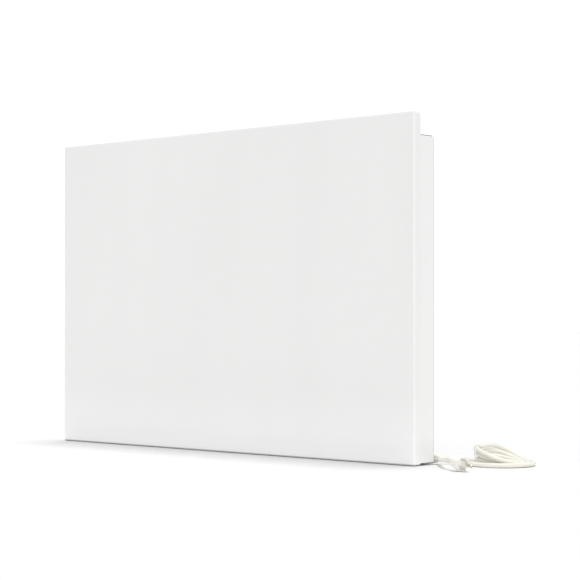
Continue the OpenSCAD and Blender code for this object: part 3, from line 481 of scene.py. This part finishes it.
# %% Galvanised sheet
def galvanised(name, colour, cell):
    """Zinc in flat crystals of about this size in metres."""
    finish = Finish(name, Metallic=1.0)
    warp = finish.noise(60.0, 3.0)
    shift = finish.add("ShaderNodeTexNoise", None, {"Vector": finish.where, "Scale": 90.0},
                       out="Color")
    where = finish.add("ShaderNodeVectorMath", {"operation": "MULTIPLY_ADD"}, {
        0: shift, 1: (cell / 2, cell / 2, cell / 2), 2: finish.where})
    cells = finish.add("ShaderNodeTexVoronoi", {"feature": "SMOOTH_F1"},
                       {"Vector": where, "Scale": 1 / cell, "Smoothness": 0.35}, out="Color")
    shade = finish.add("ShaderNodeSeparateColor", None, {"Color": cells})
    scratch = finish.noise(30.0, 4.0, finish.stretched(1, 12, 12))
    finish.set("Base Color", finish.mix(shade * 0.35 + warp * 0.35, colour, [c * 0.82 for c in colour]))
    finish.set("Roughness", 0.32 + shade * 0.1 + scratch * 0.1)
    finish.bump(scratch + shade * 0.3, 0.00003)
    return finish.material


def plated(name, colour, roughness=0.26):
    """Bright metal with a fine grain and a slow stain."""
    finish = Finish(name, Metallic=1.0)
    grain = finish.noise(2400.0, 3.0)
    stain = finish.noise(70.0)
    finish.set("Base Color", finish.mix(stain * 0.7, colour, [c * 0.8 for c in colour]))
    finish.set("Roughness", roughness + grain * 0.14)
    finish.bump(grain, 0.00002)
    return finish.material


# %% Metals
back_zinc = galvanised("back_zinc", (0.66, 0.67, 0.68), 0.009)
rail_zinc = galvanised("rail_zinc", (0.6, 0.61, 0.62), 0.007)
bracket_zinc = galvanised("bracket_zinc", (0.64, 0.65, 0.66), 0.005)
screw_plate = plated("screw_plate", (0.72, 0.73, 0.75))
bright_sheet = plated("bright_sheet", (0.86, 0.87, 0.88), 0.16)
fin_metal = plated("fin_metal", (0.8, 0.81, 0.82), 0.3)
brass = plated("brass", (0.8, 0.62, 0.3), 0.24)
nickel = plated("nickel", (0.8, 0.76, 0.7), 0.34)
sheath_metal = plated("sheath_metal", (0.2, 0.17, 0.15), 0.42)
print("finishes so far:", len(bpy.data.materials))

# %% [markdown]
# ### Plastics, rubber, ceramic and board
# Moulded plastic has a satin skin with a fine spark-eroded texture. Soft jacket plastic is
# smoother and lets a little light in. Rubber, ceramic and pressed fibre differ mostly in
# roughness and in the size of their grain, so one function with a few numbers makes them:
# roughness, the size and the depth of the grain, and how much light goes in.


# %% Moulded finishes
def moulded(name, colour, roughness, grain_size, depth, soft=0.0):
    """A matt or satin skin with a grain of this size and depth in metres."""
    finish = Finish(name, IOR=1.48, Subsurface_Weight=soft, Subsurface_Scale=0.002)
    grain = finish.noise(1 / grain_size, 3.0)
    slow = finish.noise(45.0)
    finish.set("Base Color", finish.mix(slow * 0.55 + grain * 0.15, colour, [c * 0.92 for c in colour]))
    finish.set("Roughness", roughness + (grain - 0.5) * 0.12 + (slow - 0.5) * 0.08)
    finish.bump(grain, depth)
    return finish.material


jacket_ivory = moulded("jacket_ivory", (0.86, 0.845, 0.765), 0.36, 0.0012, 0.00004, 0.08)
plug_ivory = moulded("plug_ivory", (0.93, 0.92, 0.87), 0.32, 0.0008, 0.00004, 0.08)
tie_white = moulded("tie_white", (0.8, 0.8, 0.76), 0.42, 0.001, 0.00003)
outlet_grey = moulded("outlet_grey", (0.78, 0.78, 0.74), 0.45, 0.0009, 0.00005)
rubber_black = moulded("rubber_black", (0.03, 0.03, 0.032), 0.7, 0.0008, 0.00008)
phenolic = moulded("phenolic", (0.025, 0.024, 0.024), 0.4, 0.0006, 0.00003)
block_cream = moulded("block_cream", (0.8, 0.78, 0.7), 0.4, 0.0008, 0.00004)
ceramic_white = moulded("ceramic_white", (0.86, 0.85, 0.8), 0.55, 0.0007, 0.00006)
fibre_board = moulded("fibre_board", (0.74, 0.7, 0.58), 0.9, 0.0016, 0.0003)
wire_black = moulded("wire_black", (0.02, 0.02, 0.02), 0.38, 0.001, 0.00002)
wire_white = moulded("wire_white", (0.78, 0.78, 0.76), 0.38, 0.001, 0.00002)
wire_green = moulded("wire_green", (0.03, 0.22, 0.06), 0.38, 0.001, 0.00002)
wire_red = moulded("wire_red", (0.42, 0.03, 0.02), 0.38, 0.001, 0.00002)
floor_white = moulded("floor_white", (0.84, 0.84, 0.84), 0.9, 0.02, 0.0)
floor.data.materials.append(floor_white)
print("all finishes:", len(bpy.data.materials))


# %% Give the frame's pieces their finishes
def dress(finish, *nodes):
    """Puts a finish in every slot of these pieces of the frame."""
    for name in nodes:
        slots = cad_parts[name].data.materials
        if not slots:
            slots.append(finish)
        for i in range(len(slots)):
            slots[i] = finish


dress(panel_white, "front_panel")
dress(case_white, "case_frame")
dress(grille_grey, "outlet_grille")
dress(back_zinc, "back_plate")
dress(rail_zinc, "wall_rail")
dress(bracket_zinc, "panel_stiffeners", "element_brackets", "hook_doublers", "insulation_pins")
dress(bright_sheet, "heat_shield")
dress(fin_metal, "element_fins")
dress(sheath_metal, "element_tube")
dress(fibre_board, "insulation_board")
dress(ceramic_white, "ceramic_bushings", "terminal_insulators")
dress(brass, "element_terminals", "earth_stud")
dress(phenolic, "thermal_cutout")
dress(block_cream, "terminal_block")
dress(wire_black, "supply_wires", "live_wire")
dress(wire_red, "link_wire")
dress(wire_white, "neutral_wire")
dress(wire_green, "earth_wire")
dress(screw_plate, "back_plate_screws", "panel_screws", "bracket_screws", "outlet_screws")
dress(rubber_black, "wall_bumpers")
dress(outlet_grey, "cord_outlet", "cord_sleeve")
dress(tie_white, "hank_tie")
dress(plug_ivory, "plug_body", "plug_sleeve")
dress(nickel, "plug_blades", "plug_ground_pin")
supply_cord.data.materials.append(jacket_ivory)
print("dressed", len(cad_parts), "pieces of the frame")

# %% [markdown]
# ## Pieces made again with finer forms
# The frame keeps the true sizes, but some of its pieces are plain. The ones below are made
# again from the same sizes: turned pieces come from a profile, mouldings and sheet from a
# chain of rings, and whatever repeats is placed by Geometry Nodes on points of the frame.


# %% Put a new piece in place of the frame's
def stand_for(name, mesh, finish, slot, *nodes, sharp=35):
    """Puts a mesh into the scene at the origin, in place of pieces of the frame."""
    mesh.name = name
    mesh.materials.clear()
    mesh.materials.append(finish)
    mesh.shade_smooth()
    mesh.set_sharp_from_angle(angle=math.radians(sharp))
    piece = bpy.data.objects.new(name, mesh)
    bpy.context.scene.collection.objects.link(piece)
    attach(piece, "heater")
    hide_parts(*nodes)
    print(name, "has", len(mesh.polygons), "faces")
    return piece


# %% Shapes from rings of points
def chain(rings, closed=False):
    """A solid through rings of points; its ends are capped, or joined if it is closed."""
    shape = bmesh.new()
    rows = [[shape.verts.new(p) for p in ring] for ring in rings]
    pairs = list(zip(rows, rows[1:])) + ([(rows[-1], rows[0])] if closed else [])
    for low, high in pairs:
        for i in range(max(len(low), len(high))):
            j = i + 1
            loop = [low[i % len(low)], low[j % len(low)], high[j % len(high)], high[i % len(high)]]
            corners = [c for n, c in enumerate(loop) if c not in loop[:n]]
            shape.faces.new(corners)
    for row in ([] if closed else [rows[0], rows[-1]]):
        if len(row) > 2:
            shape.faces.new(row)
    return shape


def plain(shape, place=Matrix.Identity(4)):
    """The mesh of an edited shape, moved to its place, with its faces outward."""
    bmesh.ops.recalc_face_normals(shape, faces=shape.faces)
    shape.transform(place)
    mesh = bpy.data.meshes.new("shape")
    shape.to_mesh(mesh)
    shape.free()
    return mesh


def turned(profile, parts=32, closed=False):
    """A solid turned about the Y axis from a line or a loop of (radius, y), in millimetres."""
    rings = []
    for radius, y in profile:
        angles = [2 * math.pi * i / parts for i in range(parts)] if radius else [0]
        rings.append([(radius * math.cos(a) / 1000, y / 1000, radius * math.sin(a) / 1000)
                      for a in angles])
    return chain(rings, closed)


def rounded(x0, x1, y0, y1, radius, steps=8):
    """The points of a rounded rectangle in millimetres, counterclockwise."""
    points = []
    for n, (x, y) in enumerate([(x1, y1), (x0, y1), (x0, y0), (x1, y0)]):
        cx, cy = x + (radius if x == x0 else -radius), y + (radius if y == y0 else -radius)
        for k in range(steps + 1):
            a = math.radians(90 * (n + k / steps))
            points.append((cx + radius * math.cos(a), cy + radius * math.sin(a)))
    return points


def joined(*meshes):
    """Several meshes in one."""
    shape = bmesh.new()
    for mesh in meshes:
        shape.from_mesh(mesh)
    mesh = bpy.data.meshes.new("shape")
    shape.to_mesh(mesh)
    shape.free()
    return mesh


# %% Where the frame's solids are
def solids(node):
    """The lowest and highest corner of every separate solid in a piece of the frame."""
    shape = bmesh.new()
    shape.from_mesh(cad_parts[node].data)
    bmesh.ops.remove_doubles(shape, verts=shape.verts, dist=1e-6)
    seen, found = set(), []
    for start in shape.verts:
        if start in seen:
            continue
        seen.add(start)
        group = [start]
        for vert in group:
            for edge in vert.link_edges:
                other = edge.other_vert(vert)
                if other not in seen:
                    seen.add(other)
                    group.append(other)
        found.append([Vector([pick(v.co[i] for v in group) for i in range(3)])
                      for pick in (min, max)])
    shape.free()
    return found


# %% [markdown]
# ### Two trees that repeat
# One tree puts a copy of a shape on every point it is given, turns each by a random angle
# from a fixed seed, the way a driver leaves screws, and may shrink them along the row, as
# the ribs of a sleeve shrink. The other sweeps a slat with rounded edges and lays out a row
# of them. Both end in real geometry with a material.


# %% Start and end of a tree
def new_tree(name, **inputs):
    """A geometry tree with named inputs: its nodes, and the node that gives the inputs."""
    tree = bpy.data.node_groups.new(name, "GeometryNodeTree")
    tree.interface.new_socket("Geometry", in_out="INPUT", socket_type="NodeSocketGeometry")
    for label, kind in inputs.items():
        tree.interface.new_socket(label, in_out="INPUT", socket_type="NodeSocket" + kind)
    tree.interface.new_socket("Geometry", in_out="OUTPUT", socket_type="NodeSocketGeometry")
    nodes = Nodes(tree)
    return nodes, nodes.add("NodeGroupInput")


def end_tree(nodes, given, copies):
    """Ends a tree with real geometry and a material."""
    real = nodes.add("GeometryNodeRealizeInstances", None, {"Geometry": copies})
    dressed = nodes.add("GeometryNodeSetMaterial", None,
                        {"Geometry": real, "Material": given.out("Finish")})
    nodes.add("NodeGroupOutput", None, {"Geometry": dressed})


# %% Tree of copies on points
on_points, given = new_tree("copies_on_points", Source="Object", Heading="Vector", Spin="Float",
                            Taper="Float", Seed="Int", Finish="Material")
source = on_points.add("GeometryNodeObjectInfo", None, {"Object": given.out("Source")},
                       out="Geometry")
spin = on_points.add("FunctionNodeRandomValue", {"data_type": "FLOAT"},
                     {"Max": given.out("Spin"), "Seed": given.out("Seed")}, out="Value")
size = 1 - on_points.add("GeometryNodeInputIndex") * given.out("Taper")
spun = on_points.add("ShaderNodeCombineXYZ", None, {"Y": spin})
placed = on_points.add("GeometryNodeInstanceOnPoints", None, {
    "Points": given, "Instance": source, "Rotation": spun, "Scale": size})
headed = on_points.add("GeometryNodeRotateInstances", None, {
    "Instances": placed, "Rotation": given.out("Heading")})
end_tree(on_points, given, headed)

# %% Tree of a row of slats
in_row, given = new_tree("row_of_slats", Length="Float", Chord="Float", Thickness="Float",
                         Tilt="Float", Heading="Float", Count="Int", First="Vector",
                         Step="Vector", Finish="Material")
reach = given.out("Length") / 2
line = in_row.add("GeometryNodeCurvePrimitiveLine", None, {
    "Start": in_row.add("ShaderNodeCombineXYZ", None, {"X": reach * -1}),
    "End": in_row.add("ShaderNodeCombineXYZ", None, {"X": reach})})
section = in_row.add("GeometryNodeCurvePrimitiveQuadrilateral", {"mode": "RECTANGLE"},
                     {"Width": given.out("Chord"), "Height": given.out("Thickness")})
soft_edge = in_row.add("GeometryNodeFilletCurve", {"mode": "POLY"}, {
    "Curve": section, "Count": 4, "Radius": given.out("Thickness") * 0.49})
slat = in_row.add("GeometryNodeCurveToMesh", None, {
    "Curve": line, "Profile Curve": soft_edge, "Fill Caps": True})
row = in_row.add("GeometryNodeMeshLine", None, {
    "Count": given.out("Count"), "Start Location": given.out("First"),
    "Offset": given.out("Step")})
turn = in_row.add("ShaderNodeCombineXYZ", None, {"X": given.out("Tilt"), "Z": given.out("Heading")})
end_tree(in_row, given, in_row.add("GeometryNodeInstanceOnPoints", None, {
    "Points": row, "Instance": slat, "Rotation": turn}))


# %% Run a tree
def grown(nodes, points=((0, 0, 0),), source=None, edges=(), **values):
    """The plain mesh that a tree makes on these points, with its named inputs set."""
    seeds = bpy.data.meshes.new("points")
    seeds.from_pydata([tuple(p) for p in points], list(edges), [])
    holder = bpy.data.objects.new("points", seeds)
    modifier = holder.modifiers.new("grow", "NODES")
    modifier.node_group = nodes.tree
    if source:
        values["Source"] = bpy.data.objects.new("source", source)
        bpy.context.scene.collection.objects.link(values["Source"])
    for item in nodes.tree.interface.items_tree:
        if item.in_out == "INPUT" and item.name in values:
            modifier[item.identifier] = values[item.name]
    mesh = plain_mesh(holder)
    if source:
        bpy.data.objects.remove(values["Source"])
    return mesh


print("trees:", [t.name for t in bpy.data.node_groups])

# %% [markdown]
# ### Screws
# A pan head screw is turned, so its head and shank are one profile: a low dome with a soft
# edge over a shank that ends in a short point. The cross recess is cut with a Boolean.
# The points are read from the frame, one for each screw, at the seat of its head.


# %% Screws
def cut(mesh, tool):
    """The mesh with another one taken out of it."""
    cutter = bpy.data.objects.new("cutter", tool)
    bpy.context.scene.collection.objects.link(cutter)
    holder = bpy.data.objects.new("cut", mesh)
    modifier = holder.modifiers.new("cut", "BOOLEAN")
    modifier.operation, modifier.solver, modifier.object = "DIFFERENCE", "EXACT", cutter
    result = plain_mesh(holder)
    bpy.data.objects.remove(cutter)
    return result


def cross_recess(reach, half, top, deep):
    """A plus-shaped punch that narrows as it goes down, along Y."""
    outline = [(reach, half), (half, half), (half, reach), (-half, reach), (-half, half),
               (-reach, half), (-reach, -half), (-half, -half), (-half, -reach),
               (half, -reach), (half, -half), (reach, -half)]
    return chain([[(x * s / 1000, y / 1000, z * s / 1000) for x, z in outline]
                  for y, s in ((top + 0.5, 1.1), (top - deep, 0.55))])


def pan_screw(shank):
    """A screw with its seat at the origin, its head towards +Y and its shank towards -Y."""
    head = [(3.62, 0), (3.8, 0.2), (3.74, 0.7), (3.5, 1.2), (3.0, 1.66), (2.2, 2.0), (1.2, 2.16),
            (0, 2.2)]
    body = [(0, -shank), (0.9, -shank), (1.6, -shank + 1.2), (1.95, -shank + 1.8), (1.95, 0)]
    return cut(plain(turned(body + head, parts=24)),
               plain(cross_recess(reach=1.9, half=0.42, top=2.2, deep=1.3)))


HEAD_H = 0.0022
FIRST_SEED = 5
SHANKS = {"back_plate_screws": 5, "panel_screws": 8, "bracket_screws": 6, "outlet_screws": 9}
for n, (node, shank) in enumerate(SHANKS.items()):
    seats = [((low.x + high.x) / 2, high.y - HEAD_H, (low.z + high.z) / 2)
             for low, high in solids(node)]
    screws = grown(on_points, seats, pan_screw(shank), Spin=math.pi,
                   Seed=n + FIRST_SEED, Finish=screw_plate)
    stand_for(node + "_set", screws, screw_plate, "screw_zinc", node, sharp=30)

# %% [markdown]
# ### Outlet grille
# The grille is one moulding: a thin frame that laps over the case, a skirt that hangs in the
# opening, long tilted louvres and short cross ribs. The frame is a closed chain of rounded
# rectangles, which gives its edges a soft radius. Louvres and ribs are two rows of slats.


# %% Outlet grille
def grille_ring(grow, height, radius):
    """A ring round the window, grown outward: 1 reaches the skirt, 2 the rim of the frame."""
    x, y0, y1 = [w + (s - w) * min(grow, 1) + (r - s) * max(grow - 1, 0)
                 for w, s, r in ((448, 449.6, 460), (-45, -46.6, -51), (-19, -17.4, -14))]
    return [(px / 1000, py / 1000, height / 1000) for px, py in rounded(-x, x, y0, y1, radius)]


rim = [(2, 90, 3), (2, 90.9, 3), (1.97, 91.3, 2.8), (1.9, 91.5, 2.4), (0.7, 91.5, 2),
       (0.25, 91.3, 1.7), (0, 90.8, 1.4), (0, 79.3, 1.4), (0.2, 79, 1.6), (0.8, 79, 2.4),
       (1, 79.3, 2.6), (1, 90, 2.6)]
grille_frame = plain(chain([grille_ring(*step) for step in rim], closed=True))
louvres = grown(in_row, Length=0.8964, Chord=0.009, Thickness=0.0014, Tilt=math.radians(122),
                Count=5, First=(0, -0.0424, 0.0855), Step=(0, 0.0052, 0), Finish=grille_grey)
ribs = grown(in_row, Length=0.0264, Chord=0.0014, Thickness=0.007, Heading=math.pi / 2,
             Count=13, First=(-0.384, -0.032, 0.0849), Step=(0.064, 0, 0), Finish=grille_grey)
print("louvres", len(louvres.polygons), "ribs", len(ribs.polygons))

# %% Latches of the grille
WINDOW_HALF = 448
LATCHES = 4

wedge = chain([[(x, y / 1000, z / 1000) for y, z in ((0.2, 0), (-1.3, -0.4), (0.2, -4))]
               for x in (-0.005, 0.005)])
latch = plain(wedge)
latch_x = [WINDOW_HALF * (2 * (i + 0.5) / LATCHES - 1) / 1000 for i in range(LATCHES)]
front_latches = grown(on_points, [(x, -0.0466, 0.0885) for x in latch_x], latch.copy(),
                      Finish=grille_grey)
back_latches = grown(on_points, [(x, -0.0174, 0.0885) for x in latch_x], latch,
                     Heading=(0, 0, math.pi), Finish=grille_grey)
grille = joined(grille_frame, louvres, ribs, front_latches, back_latches)
stand_for("outlet_grille_moulding", grille, grille_grey, "grille_paint", "outlet_grille")

# %% [markdown]
# ### Plug
# A moulded plug is a loft: a rounded face that keeps its width for the first few millimetres,
# draws in for the fingers and closes with a soft shoulder. Behind it the mould forms a short
# sleeve whose ribs let it bend. The ribs are copies of one ring that shrink along the row.


# %% Plug body
FRONT_R, SHOULDER_R, SHOULDER_AT = 1.2, 3, 25
WAIST_FROM, WAIST_L = 6, 18
CORNER_SHARE = 0.29


def plug_side(x, full, tail):
    """Width or height of the plug, x millimetres behind its face."""
    front = FRONT_R - math.sqrt(max(0, FRONT_R ** 2 - max(0, FRONT_R - x) ** 2))
    shoulder = SHOULDER_R - math.sqrt(max(0, SHOULDER_R ** 2 - max(0, x - SHOULDER_AT) ** 2))
    return full - (full - tail) * ease((x - WAIST_FROM) / WAIST_L) - 2 * (front + shoulder)


plug_steps = [0, 0.1, 0.35, 0.75, 1.2, 3, *range(6, 27, 2), 25, 26.8, 27.4, 27.8, 28]
plug_rings = []
for x in sorted(plug_steps):
    w, h = plug_side(x, 25, 18), plug_side(x, 22, 17.2)
    plug_rings.append([(-x / 1000, py / 1000, pz / 1000) for py, pz in
                       rounded(-w / 2, w / 2, -h / 2, h / 2, CORNER_SHARE * w)])
stand_for("plug_moulding", plain(chain(plug_rings), plug_place), plug_ivory, "plug_plastic",
          "plug_body", sharp=60)


# %% Ribbed sleeves
def rib_ring(outer, inner, width):
    """One rib: a ring with rounded shoulders, turned about Y."""
    half, soft = width / 2, 0.35
    return plain(turned([(inner, -half), (outer - soft, -half), (outer, soft - half),
                         (outer, half - soft), (outer - soft, half), (inner, half)],
                        closed=True))


SLEEVE_AT = Vector((0.386, -0.0056, FLOOR + 0.0155))
along_x, back_x = (0, 0, -math.pi / 2), Matrix.Rotation(math.pi / 2, 4, "Z")
plug_core = plain(turned([(0, 28), (4.9, 28), (4.9, 29.5), (4.4, 37.2), (4.1, 38), (0, 38)]), back_x)
rib_places = [(-(30.2 + 2.7 * i) / 1000, 0, 0) for i in range(3)]
plug_ribs = grown(on_points, rib_places, rib_ring(5.8, 4.2, 1.6), Heading=along_x, Taper=0.07,
                  Finish=plug_ivory)
plug_sleeve = joined(plug_core, plug_ribs)
plug_sleeve.transform(plug_place)
stand_for("plug_sleeve_ribbed", plug_sleeve, plug_ivory, "plug_plastic", "plug_sleeve")

core_side = [(0, -10), (3.9, -10), (3.9, 0), (5.2, 0), (5.2, 5.4), (4.8, 6), (4.3, 37), (4.1, 38),
             (0, 38)]
cord_core = plain(turned(core_side),
                  Matrix.Translation(SLEEVE_AT) @ Matrix.Rotation(-math.pi / 2, 4, "Z"))
rib_places = [SLEEVE_AT + Vector(((9 + 6 * i) / 1000, 0, 0)) for i in range(5)]
cord_ribs = grown(on_points, rib_places, rib_ring(5.15, 4, 3), Heading=along_x, Taper=0.022,
                  Finish=outlet_grey)
stand_for("cord_sleeve_ribbed", joined(cord_core, cord_ribs), outlet_grey, "outlet_plastic",
          "cord_sleeve")

# %% [markdown]
# ### Cord outlet block and wall bumpers
# The block is a thin foot with two screws, a thick body that holds the sleeve, and a short
# round spigot that leads the wires through the back plate. The bumpers are rubber feet
# pushed into the back plate: a soft rim, a shallow hollow that grips the wall, and a stem.


# %% Cord outlet block
SPIGOT_AT = Vector((0.354, 0, FLOOR + 0.030))
RIM_STEPS = 5


def slab(x0, x1, z0, z1, y0, y1, radius, edge=0.9):
    """A block with rounded corners and a rounded rim at its y1 face, in millimetres."""
    angles = [math.pi / 2 * i / RIM_STEPS for i in range(RIM_STEPS + 1)]
    steps = [(0, y0)] + [(edge * (1 - math.cos(a)), y1 - edge * (1 - math.sin(a))) for a in angles]
    rings = []
    for n, y in steps:
        outline = rounded(x0 + n, x1 - n, z0 + n, z1 - n, radius - n)
        rings.append([(px / 1000, y / 1000, pz / 1000) for px, pz in outline])
    return plain(chain(rings))


spigot_side = [(5.9, -10.7), (5.9, -12.7), (5.6, -13), (4.2, -13), (4.2, -10.7)]
spigot = plain(turned(spigot_side, closed=True), Matrix.Translation(SPIGOT_AT))
foot = slab(340, 386, -474.5, -430, -10.8, -7.8, 4)
body = slab(340, 386, -474.5, -443, -10.7, -0.4, 2.5)
stand_for("cord_outlet_block", joined(foot, body, spigot), outlet_grey, "outlet_plastic",
          "cord_outlet")

# %% Wall bumpers
bumper_side = [(0, -1), (5, -1), (6.8, -0.3), (7.6, 0), (8.8, 0), (9.9, -0.35), (10.7, -1.1),
               (11, -2.2), (11, -10.2), (10.6, -10.8), (2.95, -10.8), (2.95, -12.3), (4, -12.3),
               (3.8, -13.4), (1.6, -17.3), (0, -17.3)]
bumper_places = [((low.x + high.x) / 2, 0, (low.z + high.z) / 2)
                 for low, high in solids("wall_bumpers")]
bumpers = grown(on_points, bumper_places, plain(turned(bumper_side)), Finish=rubber_black)
stand_for("wall_bumper_pair", bumpers, rubber_black, "bumper_rubber", "wall_bumpers")

# %% [markdown]
# ### Tie of the hank
# A flat plastic strap goes once round the turns where they cross its plane. Its path is the
# outline of two circles pulled tight together, and its section a thin rounded rectangle
# that is carried along the path.

# %% Tie
TIE_AT, TIE_W, TIE_T, TIE_ROOM = 20, 4.0, 0.9, 1.4
TIE_EDGE, TIE_STEPS = 0.35, 48

angle = hank_place(TIE_AT)[0]
outward = Vector((math.cos(angle), math.sin(angle), 0))
forward = Vector((-math.sin(angle), math.cos(angle), 0))
centres = [Vector(hank_place(TIE_AT + 2 * PER_LOOP * i)[2:]) for i in (0, 1)]
lean = math.atan2(*(centres[0] - centres[1]).yx)
tie_rings = []
for n in range(TIE_STEPS):
    a = lean - math.pi / 2 + 2 * math.pi * (n + 0.5) / TIE_STEPS
    centre = centres[0 if n < TIE_STEPS // 2 else 1]
    ring = []
    for across, out in rounded(-TIE_W / 2, TIE_W / 2, 0, TIE_T, TIE_EDGE, 3):
        r = 1000 * CORD_D / 2 + TIE_ROOM + out
        point = Vector((centre.x + r * math.cos(a), centre.y + r * math.sin(a)))
        place = beside(HANK_AT[0] - RUN / 2, HANK_AT[1], point.y)
        ring.append(place + (outward * point.x + forward * across) / 1000)
    tie_rings.append(ring)
stand_for("hank_tie_strap", plain(chain(tie_rings, closed=True)), tie_white, "tie_plastic",
          "hank_tie")

# %% [markdown]
# ### Fins of the element
# A fin is stamped from thin sheet: a plate with two holes, each with a drawn collar that
# grips the tube, and a slot in the middle. Curves make the plate, because a curve fills its
# outline and leaves the holes. The frame says where each of the fins is.

# %% Plate of a fin
FIN_HALF_T = 0.0003
HOLE_R, HOLE_STEPS, HOLE_AT = 4.3, 16, 16

plate = bpy.data.curves.new("fin_outline", "CURVE")
plate.dimensions, plate.fill_mode, plate.extrude = "2D", "BOTH", FIN_HALF_T
turns = [2 * math.pi * i / HOLE_STEPS for i in range(HOLE_STEPS)]
circle = [(HOLE_R * math.cos(a), HOLE_R * math.sin(a)) for a in turns]
outlines = [rounded(-13, 13, -31, 31, 4, 3), [(x, y + HOLE_AT) for x, y in circle],
            [(x, y - HOLE_AT) for x, y in circle], rounded(-4, 4, -1.5, 1.5, 1.49, 3)]
for outline in outlines:
    loop = plate.splines.new("POLY")
    loop.points.add(len(outline) - 1)
    loop.use_cyclic_u = True
    for point, (x, y) in zip(loop.points, outline):
        point.co = (x / 1000, y / 1000, 0, 1)
fin_plate = plain_mesh(bpy.data.objects.new("fin_outline", plate))
stand_up = Matrix(((0, 0, 1, 0), (1, 0, 0, 0), (0, 1, 0, 0), (0, 0, 0, 1)))
fin_plate.transform(stand_up)
print("plate of a fin has", len(fin_plate.polygons), "faces")

# %% Collars and the row of fins
SUNK = 0.0001

collar = plain(turned([(4.1, 0), (5.2, 0), (4.5, 0.6), (4.5, 2.6), (4.1, 2.6)], HOLE_STEPS,
                      closed=True), Matrix.Rotation(-math.pi / 2, 4, "Z"))
collars = [collar.copy(), collar.copy()]
for mesh, z in zip(collars, (HOLE_AT, -HOLE_AT)):
    mesh.transform(Matrix.Translation((FIN_HALF_T - SUNK, 0, z / 1000)))
fin_places = [(low + high) / 2 for low, high in solids("element_fins")]
fins = grown(on_points, fin_places, joined(fin_plate, *collars), Finish=fin_metal)
stand_for("element_fins_stamped", fins, fin_metal, "fin_aluminium", "element_fins")

# %% [markdown]
# ### Wires
# The wires inside are soft, so the frame's straight pieces are only their route. A tree
# carries a round section along a smooth line through the same points.

# %% Tree of a sheath on a path
on_path, given = new_tree("sheath_on_path", Radius="Float", Sides="Int", Finish="Material")
round_section = on_path.add("GeometryNodeCurvePrimitiveCircle", {"mode": "RADIUS"}, {
    "Resolution": given.out("Sides"), "Radius": given.out("Radius")})
end_tree(on_path, given, on_path.add("GeometryNodeCurveToMesh", None, {
    "Curve": on_path.add("GeometryNodeMeshToCurve", None, {"Mesh": given}),
    "Profile Curve": round_section, "Fill Caps": True}))

# %% Routes of the wires
WIRES = {
    "live_wire": (wire_black, [
        (402, -20, -432), (402, -20, -422), (399, -20, -385), (394, -29, -348), (392, -35, -332),
        (387, -34, -324), (382, -33, -324), (382, -30, -324)]),
    "link_wire": (wire_red, [
        (374, -30, -324), (374, -33, -324), (369, -34, -326), (365, -33, -338), (372, -32, -356),
        (367, -32, -370), (362, -32, -372), (358, -32, -372)]),
    "neutral_wire": (wire_white, [
        (414, -20, -432), (414, -20, -423), (408, -30, -414), (380, -32, -408), (368, -32, -404),
        (358, -32, -404)]),
    "earth_wire": (wire_green, [
        (426, -20, -432), (426, -20, -423), (428, -21, -412), (436, -21, -410), (436, -20, -400.2)]),
}
WIRE_STEP, WIRE_DROP, POLE_PITCH = 2.8, 3.2, 12
for i, finish in enumerate((wire_black, wire_white, wire_green)):
    high, run, pole = -450 + (1 - i) * WIRE_STEP, -453 - WIRE_DROP * i, 402 + POLE_PITCH * i
    WIRES[f"supply_wires_{i}"] = (finish, [
        (354, -11.4, high), (354, -15, high), (362, -19, high - 1), (372, -20, run),
        (pole - 8, -20, run), (pole - 2, -20, run + 3), (pole, -20, -447), (pole, -20, -442)])
print("wires:", list(WIRES))

# %% Wires
WIRE_R = 0.0013
for name, (finish, points) in WIRES.items():
    line = smooth_line([Vector(p) / 1000 for p in points], parts=6)
    edges = [(i, i + 1) for i in range(len(line) - 1)]
    sheath = grown(on_path, line, edges=edges, Radius=WIRE_R, Sides=12, Finish=finish)
    stand_for(name + "_sheath", sheath, finish, "wire_sleeve", name.rstrip("_012"))

# %% [markdown]
# ## Checks at the end
# The cord's length is summed from its route when it is laid; it proves nothing about the real
# cord. The box round the dressed model is measured against the frame's own box, and the
# largest growth is printed.

# %% Compare the two boxes
shown_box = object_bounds()
growth = max(max(cad_box[0][i] - shown_box[0][i], shown_box[1][i] - cad_box[1][i])
             for i in range(3))
print("largest growth in mm:", round(1000 * growth, 2))
